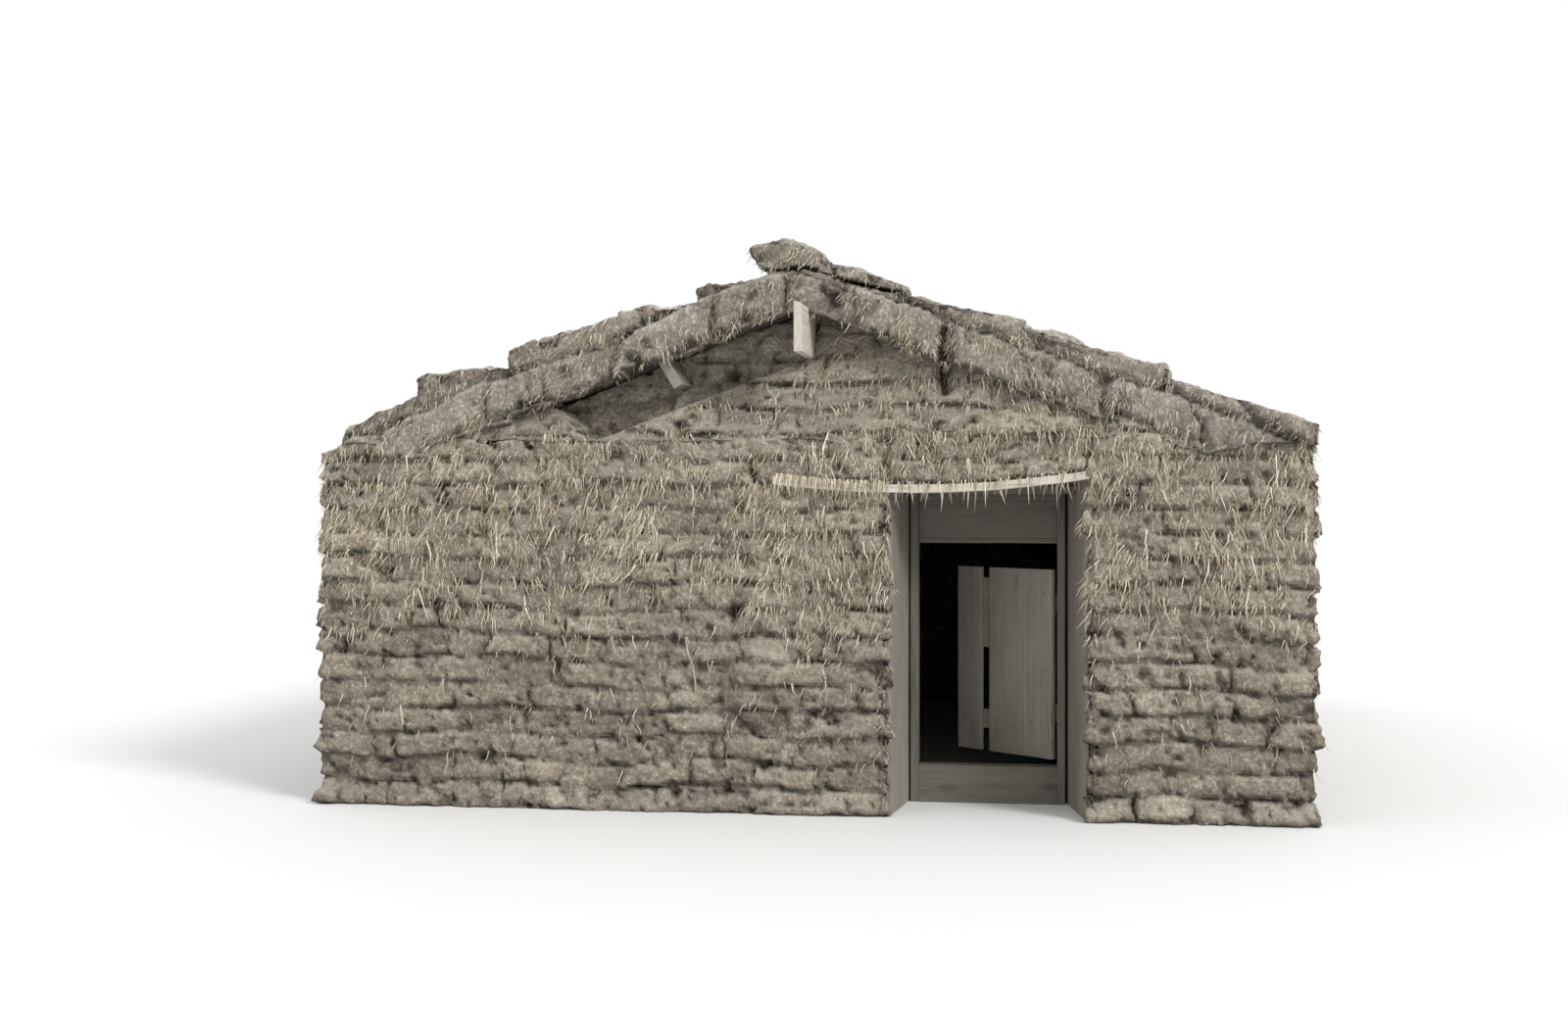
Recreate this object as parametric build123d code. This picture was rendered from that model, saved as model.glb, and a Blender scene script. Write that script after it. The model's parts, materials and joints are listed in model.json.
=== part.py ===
from build123d import *
from math import cos, radians, sin, tan
import os

# A turf house of the open prairie, built of cut sods, with its doorway in one gable end.
# Everything is in millimetres. +Z is up, the doorway faces -Y, and the origin is on the
# ground at the middle of the house.

# Walls
house_width = 4920
house_length = 6100
wall_thickness = 600
wall_height = 1810
gable_batter = 360

# Sods as they are laid in the walls
sod_course_height = 122
bed_joint_height = 24
bed_joint_depth = 20

# Roof boards, and the planks that carry them
roof_pitch = 20.0
board_thickness = 25
board_bearing = 100
board_setback = 70
ridge_board_thickness = 40
ridge_board_depth = 247
ridge_board_projection = 250
ridge_board_offset = 25
purlin_offset = 700
purlin_thickness = 51
purlin_depth = 160
purlin_lean = 31.0
purlin_setback = 50
purlin_bearing = 250

# Roof sods. The courses run from the eaves up to the ridge sods, and each takes its share of
# that width. Their thickness at the lower and the upper edge is straight up from the boards.
sod_overhang = 30
left_eave_inset = 140
left_course_shares = (0.21, 0.26, 0.31, 0.22)
left_course_lower = (205, 335, 290, 275)
left_course_upper = (250, 230, 275, 170)
right_eave_inset = 0
right_course_shares = (0.355, 0.355, 0.29)
right_course_lower = (282, 290, 285)
right_course_upper = (268, 270, 215)
ridge_sods_left = 500
ridge_sods_right = 490
ridge_sods_lower_left = 245
ridge_sods_lower_right = 201
ridge_sods_middle = 167
cap_sod_left = 245
cap_sod_right = 100
cap_sod_thickness = 123
cap_sod_edge = 32
cap_sod_bearing = 120
cap_sod_top_offset = 70
shoulder_sod_upper = 84
shoulder_sod_lower = 53

# Joints between the roof sods, from one gable to the other. Each sod in a row is thinner
# than the measured one at the gable by its share of this list, which is run through again
# and again.
roof_sod_length = 515
roof_joint_width = 40
roof_joint_depth = 40
ridge_joint_depth = 25
roof_sod_drops = (0, 18, 6, 26, 2, 14, 30, 8, 22)

# The gap left open under the roof boards, left of the ridge board
gap_depth = 300
gap_floor_middle = 250
gap_floor_end = 1064
gap_end_lift = 15
gap_top_end = 1290

# Doorway
doorway_left = 438
doorway_right = 1389
reveal_plank_thickness = 30
frame_left = 500
frame_right = 1283
over_door_height = 240
frame_depth = 100
reveal_setback = 45
post_width = 40
head_height = 34
sill_height = 190
transom_setback = 50
transom_board_height = 190
transom_board_thickness = 25
transom_rail_height = 25
transom_rail_thickness = 40
lintel_left = 130
lintel_right = 1720
lintel_thickness = 40
lintel_depth = 300
lintel_projection = 30
lintel_low_x = 550
lintel_lift = 26
lintel_sag_radius = 5500
inner_lintel_thickness = 40
inner_lintel_bearing = 200

# Door leaf, measured with the door shut
leaf_top_gap = 135
leaf_bottom_gap = 25
leaf_hinge_gap = 6
leaf_free_gap = 9
leaf_board_thickness = 25
hinge_board_width = 212
middle_board_width = 240
open_gap_width = 63
board_joint = 2
ledge_height = 100
ledge_thickness = 25
ledge_inset = 20
top_ledge_drop = 56
bottom_ledge_rise = 115
patch_width = 87
patch_thickness = 12
patch_height = 270
ajar_angle = 42.5

# Strap hinges on the inner side of the door
knuckle_radius = 6
hinge_pin_radius = 3
pin_clearance = 0.1
knuckle_seat_gap = 0.5
knuckle_axial_gap = 1
strap_thickness = 3
strap_height = 30
strap_length = 300
strap_ledge_gap = 6
hinge_plate_height = 90
hinge_plate_width = 36

# Places worked out from the sizes above
half_width = house_width / 2
half_length = house_length / 2
inner_half_width = half_width - wall_thickness
inner_half_length = half_length - wall_thickness
front = -half_length
front_inner = -inner_half_length
slope = tan(radians(roof_pitch))
board_rise = board_thickness / cos(radians(roof_pitch))
board_end = inner_half_width + board_bearing
board_half_length = half_length - board_setback
ridge_top = wall_height + board_end * slope
ridge_underside = ridge_top - board_rise
sod_half_length = half_length + sod_overhang
wall_courses = round(wall_height / sod_course_height)
course_rise = wall_height / wall_courses
frame_front = front_inner - frame_depth
transom_face = front_inner - transom_setback
frame_height = wall_height - over_door_height
transom_top = frame_height - head_height
transom_bottom = transom_top - transom_board_height
lintel_low_z = frame_height + lintel_lift
opening_left = frame_left + post_width
opening_right = frame_right - post_width
hinge_x = opening_right - leaf_hinge_gap / 2
hinge_y = front_inner + knuckle_radius + knuckle_seat_gap
leaf_bottom = sill_height + leaf_bottom_gap
leaf_top = transom_bottom - transom_rail_height - leaf_top_gap
leaf_hinge_edge = opening_right - leaf_hinge_gap
leaf_free_edge = opening_left + leaf_free_gap
leaf_outer_face = front_inner - leaf_board_thickness
top_ledge_top = leaf_top - top_ledge_drop
bottom_ledge_bottom = leaf_bottom + bottom_ledge_rise


def block(x_low, x_high, y_low, y_high, z_low, z_high):
    """A squared block between two corners."""
    middle = Pos((x_low + x_high) / 2, (y_low + y_high) / 2, (z_low + z_high) / 2)
    return middle * Box(x_high - x_low, y_high - y_low, z_high - z_low)


def along_length(points, y_low, y_high):
    """An outline in X and Z, drawn out along the house."""
    outline = make_face(Plane.XZ * Polyline(*points, close=True))
    return Pos(0, y_low, 0) * extrude(outline, amount=y_high - y_low, dir=(0, 1, 0))


def along_width(points, x_low, x_high):
    """An outline in Y and Z, drawn out across the house."""
    outline = make_face(Plane.YZ * Polyline(*points, close=True))
    return Pos(x_low, 0, 0) * extrude(outline, amount=x_high - x_low, dir=(1, 0, 0))


def upright(points, z_low, z_high):
    """A plan outline, drawn upwards."""
    outline = make_face(Plane.XY * Polyline(*points, close=True))
    return Pos(0, 0, z_low) * extrude(outline, amount=z_high - z_low, dir=(0, 0, 1))


def boards_underside(x):
    return ridge_underside - abs(x) * slope


def boards_top(x):
    return ridge_top - abs(x) * slope


def sod_seat(x):
    """What the roof sods lie on: the boards, and outside them the wall."""
    return max(boards_top(x), wall_height)


# Timber of the roof
def under_the_boards():
    outline = [(-board_end, 0), (board_end, 0), (board_end, boards_underside(board_end)),
               (0, ridge_underside), (-board_end, boards_underside(board_end))]
    reach = half_length + ridge_board_projection
    return along_length(outline, -reach, reach)


def roof_boards(side):
    outline = [(0, ridge_underside), (0, ridge_top), (side * board_end, wall_height),
               (side * board_end, boards_underside(board_end))]
    return along_length(outline, -board_half_length, board_half_length)


def ridge_board():
    half = ridge_board_thickness / 2
    reach = half_length + ridge_board_projection
    bottom = ridge_underside - ridge_board_depth
    board = block(ridge_board_offset - half, ridge_board_offset + half, -reach, reach,
                  bottom, ridge_top)
    return board & under_the_boards()


def purlin(side):
    """A plank on edge that leans in under the boards, its upper edge cut to their slope."""
    lean = radians(purlin_lean)
    down = Vector(-side * sin(lean), -cos(lean))
    across = Vector(cos(lean), -side * sin(lean)) * (purlin_thickness / 2)
    seat = Vector(side * purlin_offset, boards_underside(purlin_offset))
    top = seat - down * purlin_thickness * 2
    foot = seat + down * purlin_depth
    corners = [top - across, top + across, foot + across, foot - across]
    in_the_gable = inner_half_length + purlin_bearing
    seen_in_the_gap = half_length - purlin_setback
    front_reach = seen_in_the_gap if side < 0 else in_the_gable
    outline = [(corner.X, corner.Y) for corner in corners]
    return along_length(outline, -front_reach, in_the_gable) & under_the_boards()


# Doorway timber
def lintel_disc(radius, y_low, y_high):
    disc = Plane.XZ * Pos(lintel_low_x, lintel_low_z + lintel_sag_radius) * Circle(radius)
    return Pos(0, y_low, 0) * extrude(disc, amount=y_high - y_low, dir=(0, 1, 0))


def over_lintel(y_low, y_high):
    return lintel_disc(lintel_sag_radius - lintel_thickness / 2, y_low, y_high)


def over_lintel_underside(y_low, y_high):
    return lintel_disc(lintel_sag_radius + lintel_thickness / 2, y_low, y_high)


def door_lintel():
    """A long plank laid flat over the doorway, sagging under the sods."""
    y_low = front - lintel_projection
    y_high = front + lintel_depth
    ring = over_lintel_underside(y_low, y_high) - over_lintel(y_low, y_high)
    return ring & block(-lintel_left, lintel_right, y_low, y_high, 0, wall_height)


def door_inner_lintel():
    return block(frame_left - inner_lintel_bearing, frame_right + inner_lintel_bearing,
                 front + lintel_depth, front_inner, frame_height,
                 frame_height + inner_lintel_thickness)


def lining_edge(outer_x, inner_x):
    """Where a lining board begins in X, on the slant from the outer to the inner edge."""
    return outer_x + (inner_x - outer_x) * reveal_setback / wall_thickness


def reveal_plank(outer_x, inner_x, side):
    """The board that lines one side of the splayed doorway, from just behind the sods' edge."""
    back = side * reveal_plank_thickness
    edge = front + reveal_setback
    edge_x = lining_edge(outer_x, inner_x)
    outline = [(edge_x, edge), (inner_x, front_inner), (inner_x + back, front_inner),
               (edge_x + back, edge)]
    plank = upright(outline, 0, wall_height)
    plank -= over_lintel_underside(front - lintel_projection, front + lintel_depth)
    above = block(-half_width, half_width, front + lintel_depth, front_inner,
                  frame_height, wall_height)
    return plank - above


def door_post(x_low):
    return block(x_low, x_low + post_width, frame_front, front_inner, 0, frame_height)


def door_head():
    return block(opening_left, opening_right, frame_front, front_inner,
                 transom_top, frame_height)


def door_sill():
    return block(opening_left, opening_right, frame_front, front_inner, 0, sill_height)


def transom_board():
    return block(opening_left, opening_right, transom_face,
                 transom_face + transom_board_thickness, transom_bottom, transom_top)


def transom_rail():
    return block(opening_left, opening_right, transom_face,
                 transom_face + transom_rail_thickness,
                 transom_bottom - transom_rail_height, transom_bottom)


# Sod walls
def doorway_cut():
    """The space in the sods that the doorway and its lining boards fill."""
    edge = front + reveal_setback
    left = lining_edge(doorway_left, frame_left)
    right = lining_edge(doorway_right, frame_right)
    lining = reveal_plank_thickness
    outline = [(doorway_left, front), (doorway_right, front), (right, edge),
               (right + lining, edge), (frame_right + lining, front_inner),
               (frame_left - lining, front_inner), (left - lining, edge), (left, edge)]
    return upright(outline, 0, wall_height)


def bed_joints():
    """Grooves between the courses of the walls, all round the outside of the house."""
    grooves = []
    for course in range(1, wall_courses):
        low = course * course_rise - bed_joint_height / 2
        high = low + bed_joint_height
        core_x = half_width - bed_joint_depth
        core_y = half_length - bed_joint_depth
        ring = block(-half_width, half_width, -half_length, half_length, low, high)
        grooves.append(ring - block(-core_x, core_x, -core_y, core_y, low, high))
    return grooves


def gable_joints(end):
    """Grooves between the courses of a gable, which leans in. End is -1 at the front."""
    grooves = []
    rise = ridge_underside - wall_height
    for course in range(int(rise / course_rise) + 1):
        low = wall_height + course * course_rise - bed_joint_height / 2
        reach = half_length - gable_batter * (low - wall_height) / rise
        near, far = sorted((end * half_length, end * (reach - bed_joint_depth)))
        grooves.append(block(-half_width, half_width, near, far, low, low + bed_joint_height))
    return grooves


def coursed(wall, grooves):
    for groove in grooves:
        wall -= groove
    return wall


def doorway_timber():
    return [door_lintel(), door_inner_lintel()]


def front_wall(x_low, x_high):
    wall = block(x_low, x_high, front, front_inner, 0, wall_height) - doorway_cut()
    for timber in doorway_timber():
        wall -= timber
    for side in (-1, 1):
        wall -= roof_boards(side)
    return coursed(wall, bed_joints())


def front_wall_over_door():
    """The sods that rest on the two lintels, within the width of the doorway."""
    outer = over_lintel(front, front + lintel_depth)
    inner = block(-half_width, half_width, front + lintel_depth, front_inner,
                  frame_height + inner_lintel_thickness, wall_height)
    return coursed((outer + inner) & doorway_cut(), bed_joints())


def side_wall(side):
    low, high = sorted((side * inner_half_width, side * half_width))
    wall = block(low, high, front_inner, inner_half_length, 0, wall_height)
    return coursed(wall - roof_boards(side), bed_joints())


def back_wall():
    wall = block(-half_width, half_width, inner_half_length, half_length, 0, wall_height)
    return coursed(wall - roof_boards(-1) - roof_boards(1), bed_joints())


def battered(end):
    """The space that a gable fills, leaning in towards the ridge. End is -1 at the front."""
    outline = [(end * half_length, wall_height), (end * inner_half_length, wall_height),
               (end * inner_half_length, ridge_underside),
               (end * (half_length - gable_batter), ridge_underside)]
    return along_width(outline, -half_width, half_width)


def gable(left, right, end):
    """Sods between the wall's top and the roof boards, from X left to X right."""
    foot = (ridge_underside - wall_height) / slope
    outline = [(max(left, -foot), wall_height), (min(right, foot), wall_height)]
    if right < foot:
        outline.append((right, boards_underside(right)))
    if left < 0 < right:
        outline.append((0, ridge_underside))
    if left > -foot:
        outline.append((left, boards_underside(left)))
    body = along_length(outline, -half_length, half_length) & battered(end)
    for timber in (ridge_board(), purlin(-1), purlin(1)):
        body -= timber
    return coursed(body, gable_joints(end))


def open_gap():
    """The part of the front gable, left of the ridge board, that was never filled."""
    outline = [(0, ridge_top), (0, boards_underside(0) - gap_floor_middle),
               (-gap_floor_end, wall_height + gap_end_lift),
               (-gap_top_end, boards_underside(gap_top_end)), (-gap_top_end, ridge_top)]
    return along_length(outline, front, front + gap_depth)


def front_gable_left():
    outer = block(-half_width, half_width, front, front + gap_depth, 0, ridge_top)
    return (gable(-half_width, 0, -1) & outer) - open_gap()


def front_gable_fill():
    inner = block(-half_width, half_width, front + gap_depth, front_inner, 0, ridge_top)
    return gable(-half_width, 0, -1) & inner


# Roof sods
def course_edges(inset, shares, last_edge):
    """Where each course begins and ends, from the eaves up to the ridge sods."""
    edges = [half_width - inset]
    for share in shares[:-1]:
        edges.append(edges[-1] - share * (half_width - inset - last_edge))
    return edges + [last_edge]


def sods_in_a_row(outline, joint_depth, row):
    """Sods laid end to end along the house. Outline takes how far its edge stands back and
    how far its top is lowered. Odd rows start with half a sod."""
    count = round(2 * sod_half_length / roof_sod_length)
    length = 2 * sod_half_length / count
    first = length / 2 if row % 2 else length
    joints = [first + number * length - sod_half_length for number in range(count - 1 + row % 2)]
    starts = [-sod_half_length] + [joint + roof_joint_width / 2 for joint in joints]
    stops = [joint - roof_joint_width / 2 for joint in joints] + [sod_half_length]
    laid = along_length(outline(joint_depth, max(roof_sod_drops) + joint_depth),
                        -sod_half_length, sod_half_length)
    for number, (start, stop) in enumerate(zip(starts, stops)):
        drop = roof_sod_drops[number % len(roof_sod_drops)]
        laid += along_length(outline(0, drop), start, stop)
    return laid


def roof_course(side, row, lower_edge, upper_edge, lower_thickness, upper_thickness):
    """One long course of roof sods, wedge-shaped where it overlaps the course below."""
    def outline(setback, drop):
        edge = lower_edge - setback
        points = [(edge, sod_seat(edge)),
                  (edge, boards_top(edge) + lower_thickness - drop),
                  (upper_edge, boards_top(upper_edge) + upper_thickness - drop),
                  (upper_edge, sod_seat(upper_edge))]
        if upper_edge < board_end < edge:
            points.append((board_end, wall_height))
        return [(side * x, z) for x, z in points]

    return sods_in_a_row(outline, roof_joint_depth, row)


def ridge_sods():
    outline = [(-ridge_sods_left, boards_top(ridge_sods_left)), (0, ridge_top),
               (ridge_sods_right, boards_top(ridge_sods_right)),
               (ridge_sods_right, boards_top(ridge_sods_right) + ridge_sods_lower_right),
               (0, ridge_top + ridge_sods_middle),
               (-ridge_sods_left, boards_top(ridge_sods_left) + ridge_sods_lower_left)]
    return along_length(outline, -sod_half_length, sod_half_length)


def ridge_sods_surface(x):
    """Height of the ridge sods at X."""
    middle = ridge_top + ridge_sods_middle
    if x < 0:
        edge = boards_top(ridge_sods_left) + ridge_sods_lower_left
        return middle + (edge - middle) * -x / ridge_sods_left
    edge = boards_top(ridge_sods_right) + ridge_sods_lower_right
    return middle + (edge - middle) * x / ridge_sods_right


def cap_sods():
    """The top row, which overhangs the ridge sods on the left."""
    def outline(setback, drop):
        right_seat = ridge_sods_surface(cap_sod_right)
        top = ridge_sods_surface(0) + cap_sod_thickness - drop
        left = -cap_sod_left + setback
        return [(-cap_sod_bearing, ridge_sods_surface(-cap_sod_bearing)),
                (0, ridge_sods_surface(0)), (cap_sod_right, right_seat),
                (cap_sod_right, right_seat + shoulder_sod_upper - drop),
                (-cap_sod_top_offset, top), (left, top - cap_sod_edge),
                (left, top - cap_sod_edge * 2)]

    return sods_in_a_row(outline, ridge_joint_depth, 1)


def shoulder_sods():
    """Flat sods that lean on the ridge sods, right of the top row."""
    outline = [(cap_sod_right, ridge_sods_surface(cap_sod_right)),
               (ridge_sods_right, ridge_sods_surface(ridge_sods_right)),
               (ridge_sods_right, ridge_sods_surface(ridge_sods_right) + shoulder_sod_lower),
               (cap_sod_right, ridge_sods_surface(cap_sod_right) + shoulder_sod_upper)]
    return along_length(outline, -sod_half_length, sod_half_length)


# Door leaf and hinges
def ajar(shape):
    """Turn a piece of the shut door to where the door stands."""
    hinge = Pos(hinge_x, hinge_y, 0)
    return hinge * Rot(0, 0, -ajar_angle) * hinge.inverse() * shape


def leaf_board(from_hinge, width):
    right = leaf_hinge_edge - from_hinge
    return ajar(block(right - width, right, leaf_outer_face, front_inner,
                      leaf_bottom, leaf_top))


def ledge(z_low):
    return ajar(block(leaf_free_edge + ledge_inset, leaf_hinge_edge - ledge_inset,
                      front_inner, front_inner + ledge_thickness, z_low, z_low + ledge_height))


def door_patch():
    """A thin strip nailed behind the upper half of the gap between the boards."""
    middle = leaf_hinge_edge - hinge_board_width - middle_board_width - open_gap_width / 2
    top = top_ledge_top - ledge_height
    return ajar(block(middle - patch_width / 2, middle + patch_width / 2, front_inner,
                      front_inner + patch_thickness, top - patch_height, top))


def hinge_heights():
    """The straps lie on the boards, just inside the two ledges."""
    clear = strap_ledge_gap + strap_height / 2
    return (bottom_ledge_bottom + ledge_height + clear, top_ledge_top - ledge_height - clear)


def knuckle(radius, z_low, z_high):
    centre = Pos(hinge_x, hinge_y, (z_low + z_high) / 2)
    return centre * Cylinder(radius, z_high - z_low)


def hinge_plate(height):
    """The fixed half: a plate on the post, two knuckles and the pin between them."""
    low = height - hinge_plate_height / 2
    high = height + hinge_plate_height / 2
    strap_low = height - strap_height / 2 - knuckle_axial_gap
    strap_high = height + strap_height / 2 + knuckle_axial_gap
    plate_edge = hinge_x + knuckle_radius + knuckle_axial_gap
    plate_face = front_inner + strap_thickness
    body = block(plate_edge, plate_edge + hinge_plate_width, front_inner, plate_face, low, high)
    for z_low, z_high in ((low, strap_low), (strap_high, high)):
        body += block(hinge_x, plate_edge, front_inner, plate_face, z_low, z_high)
        body += knuckle(knuckle_radius, z_low, z_high)
    return body + knuckle(hinge_pin_radius, low, high)


def hinge_strap(height):
    """The moving half: a long strap over the boards, rolled round the pin."""
    low = height - strap_height / 2
    high = height + strap_height / 2
    strap = block(hinge_x - strap_length, hinge_x, front_inner,
                  front_inner + strap_thickness, low, high)
    strap += knuckle(knuckle_radius, low, high)
    strap -= knuckle(hinge_pin_radius + pin_clearance, low, high)
    return ajar(strap)


def roof_pieces():
    pieces = {
        "ridge_board": ridge_board(),
        "purlin_left": purlin(-1),
        "purlin_right": purlin(1),
        "roof_boards_left": roof_boards(-1),
        "roof_boards_right": roof_boards(1),
        "ridge_sods": ridge_sods(),
        "ridge_cap_sods": cap_sods(),
        "ridge_shoulder_sods": shoulder_sods(),
    }
    left_edges = course_edges(left_eave_inset, left_course_shares, ridge_sods_left)
    right_edges = course_edges(right_eave_inset, right_course_shares, ridge_sods_right)
    sides = (("left", -1, left_edges, left_course_lower, left_course_upper),
             ("right", 1, right_edges, right_course_lower, right_course_upper))
    for name, side, edges, lower, upper in sides:
        for row, course in enumerate(zip(edges, edges[1:], lower, upper), start=1):
            pieces[f"roof_sods_{name}_{row}"] = roof_course(side, row, *course)
    return pieces


def wall_pieces():
    return {
        "front_wall_left": front_wall(-half_width, (doorway_left + doorway_right) / 2),
        "front_wall_right": front_wall((doorway_left + doorway_right) / 2, half_width),
        "front_wall_over_door": front_wall_over_door(),
        "front_gable_left": front_gable_left(),
        "front_gable_fill": front_gable_fill(),
        "front_gable_right": gable(0, half_width, -1),
        "left_wall": side_wall(-1),
        "right_wall": side_wall(1),
        "back_wall": back_wall(),
        "back_gable": gable(-half_width, half_width, 1),
    }


def doorway_pieces():
    return {
        "door_lintel": door_lintel(),
        "door_inner_lintel": door_inner_lintel(),
        "reveal_plank_left": reveal_plank(doorway_left, frame_left, -1),
        "reveal_plank_right": reveal_plank(doorway_right, frame_right, 1),
        "door_post_left": door_post(frame_left),
        "door_post_right": door_post(opening_right),
        "door_head": door_head(),
        "door_sill": door_sill(),
        "transom_board": transom_board(),
        "transom_rail": transom_rail(),
        "hinge_plates": Compound(children=[hinge_plate(height) for height in hinge_heights()]),
    }


def leaf_pieces():
    before_gap = hinge_board_width + middle_board_width
    after_gap = before_gap + open_gap_width
    free_board_width = leaf_hinge_edge - leaf_free_edge - after_gap
    return {
        "door_board_hinge_side": leaf_board(0, hinge_board_width - board_joint),
        "door_board_middle": leaf_board(hinge_board_width, middle_board_width),
        "door_board_free_side": leaf_board(after_gap, free_board_width),
        "door_ledge_top": ledge(top_ledge_top - ledge_height),
        "door_ledge_bottom": ledge(bottom_ledge_bottom),
        "door_patch": door_patch(),
        "hinge_straps": Compound(children=[hinge_strap(height) for height in hinge_heights()]),
    }


def main():
    os.makedirs("parts", exist_ok=True)
    pieces = {**wall_pieces(), **roof_pieces(), **doorway_pieces(), **leaf_pieces()}
    for name, piece in pieces.items():
        export_step(piece, f"parts/{name}.step")


main()
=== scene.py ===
import json
from contextlib import contextmanager
from math import atan, cos, pi, radians, sin
from random import Random

import bmesh
import bpy
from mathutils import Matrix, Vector

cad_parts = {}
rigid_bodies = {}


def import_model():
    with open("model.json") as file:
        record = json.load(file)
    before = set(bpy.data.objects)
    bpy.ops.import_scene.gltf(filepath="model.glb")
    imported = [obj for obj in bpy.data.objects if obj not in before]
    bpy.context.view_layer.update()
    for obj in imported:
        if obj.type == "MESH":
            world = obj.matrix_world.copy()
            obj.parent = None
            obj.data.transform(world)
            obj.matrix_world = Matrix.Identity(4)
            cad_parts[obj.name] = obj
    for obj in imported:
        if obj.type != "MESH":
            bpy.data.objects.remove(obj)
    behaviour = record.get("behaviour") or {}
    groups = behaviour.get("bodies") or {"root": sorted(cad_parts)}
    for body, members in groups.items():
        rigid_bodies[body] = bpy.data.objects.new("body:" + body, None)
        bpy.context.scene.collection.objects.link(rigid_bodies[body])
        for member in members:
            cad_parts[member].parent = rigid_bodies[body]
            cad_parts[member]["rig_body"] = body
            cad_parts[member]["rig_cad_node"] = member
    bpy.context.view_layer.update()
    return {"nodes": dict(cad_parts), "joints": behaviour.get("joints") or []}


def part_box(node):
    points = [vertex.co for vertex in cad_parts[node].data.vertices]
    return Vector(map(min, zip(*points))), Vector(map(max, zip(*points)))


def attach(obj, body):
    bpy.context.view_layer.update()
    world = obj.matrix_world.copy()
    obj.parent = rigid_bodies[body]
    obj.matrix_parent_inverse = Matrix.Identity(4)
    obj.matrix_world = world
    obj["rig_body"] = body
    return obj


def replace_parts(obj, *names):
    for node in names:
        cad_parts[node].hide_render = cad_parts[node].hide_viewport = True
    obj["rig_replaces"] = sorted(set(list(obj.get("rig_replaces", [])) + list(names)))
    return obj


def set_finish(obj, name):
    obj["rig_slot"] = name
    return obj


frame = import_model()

bl_info = {
    "name": "Turf House",
    "version": (1, 0, 0),
    "blender": (4, 5, 0),
    "location": "View3D > Sidebar > Turf House",
    "description": "Dresses a packed turf house in sods, dry grass, old timber and rusted iron",
    "category": "Object",
}

UP = Vector((0, 0, 1))
ACROSS = Vector((1, 0, 0))
ALONG = Vector((0, 1, 0))
SIDES = {-1: "left", 1: "right"}

# Places that the frame gives
wall_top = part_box("left_wall")[1].z
half_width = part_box("front_wall_right")[1].x
inner_half_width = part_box("right_wall")[0].x
inner_half_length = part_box("right_wall")[1].y
boards_end, boards_half_length, ridge_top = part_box("roof_boards_right")[1]
roof_slope = (ridge_top - wall_top) / boards_end
roof_pitch = atan(roof_slope)


# Kinds of settings
def metres(name, description, value):
    return bpy.props.FloatProperty(
        name=name, description=description, default=value, unit="LENGTH")


def proportion(name, description, value):
    return bpy.props.FloatProperty(
        name=name, description=description, default=value, subtype="FACTOR")


def degrees(name, description, value):
    return bpy.props.FloatProperty(
        name=name, description=description, default=radians(value), subtype="ANGLE",
        unit="ROTATION")


def number(name, description, value):
    return bpy.props.FloatProperty(name=name, description=description, default=value)


def spot(name, description, value):
    return bpy.props.FloatVectorProperty(
        name=name, description=description, default=value, subtype="TRANSLATION", unit="LENGTH")


def colour(name, description, value):
    return bpy.props.FloatVectorProperty(
        name=name, description=description, default=value, size=3, subtype="COLOR", min=0, max=1)


# Sizes and colours that a user would change
class WallSods(bpy.types.PropertyGroup):
    """How the sods of the walls and gables are laid and weathered"""

    sod_length: metres("Sod Length", "Usual length of a sod as laid", 0.33)
    course_height: metres("Course Height", "Height of one course", 0.1248)
    joint_reach: metres("Joint Reach", "How far a joint rounds off a sod", 0.017)
    joint_depth: metres("Joint Depth", "Depth of an open joint", 0.04)
    bed_joints: proportion("Bed Joints", "How far the courses part, as a share", 0.45)
    stagger: metres("Stagger", "How far sods stand out from each other", 0.036)
    lip: metres("Lip", "How far a course's lower edge stands out", 0.022)
    lumps: metres("Lumps", "Height of the lumps", 0.032)
    crumbs: metres("Crumbs", "Height of the crumbled surface", 0.026)
    crumbled_below: metres("Crumbled Below", "Height below which few roots show", 1.0)
    pits: metres("Pits", "Depth of the pits where crumbs have fallen out", 0.02)
    hollows: metres("Hollows", "Depth of the hollows where part of a sod is gone", 0.06)
    foot: metres("Foot", "How far slumped earth stands out at the ground", 0.03)
    cleft_place: spot("Cleft Place", "Middle of the open cleft in the doorway gable",
                      (0.7, -2.95, 2.24))
    cleft_depth: metres("Cleft Depth", "Depth of that cleft", 0.12)
    slump_place: spot("Slump Place", "Middle of the sods that have slumped beside the doorway",
                      (-0.19, -3.05, 0.63))
    slump_height: metres("Slump Height", "How far those sods stand out", 0.11)
    cover_place: spot("Cover Place", "Middle of the sods that bury the lintel's right end",
                      (1.6, -3.05, 1.72))
    cover_height: metres("Cover Height", "How far those sods stand out", 0.09)
    swell: metres("Swell", "How far the gables stand out under the roof's edge", 0.08)
    worn_edge: metres("Worn Edge", "How far the walls' open top has worn down at the left", 0.06)
    door_overlap: metres("Door Overlap", "How far the sods over the doorway pass its sides", 0.08)
    rake_overlap: metres("Rake Overlap", "How far the gables pass the roof boards' ends", 0.045)
    overlap: metres("Overlap", "How far sods reach into those beside and below them", 0.03)
    cell_front: metres("Front Cell", "Mesh cell on the doorway side", 0.0165)
    cell_side: metres("Side Cell", "Mesh cell on the other outer sides", 0.0225)
    cell_inside: metres("Inside Cell", "Mesh cell on the sides that face the room", 0.05)


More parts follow.
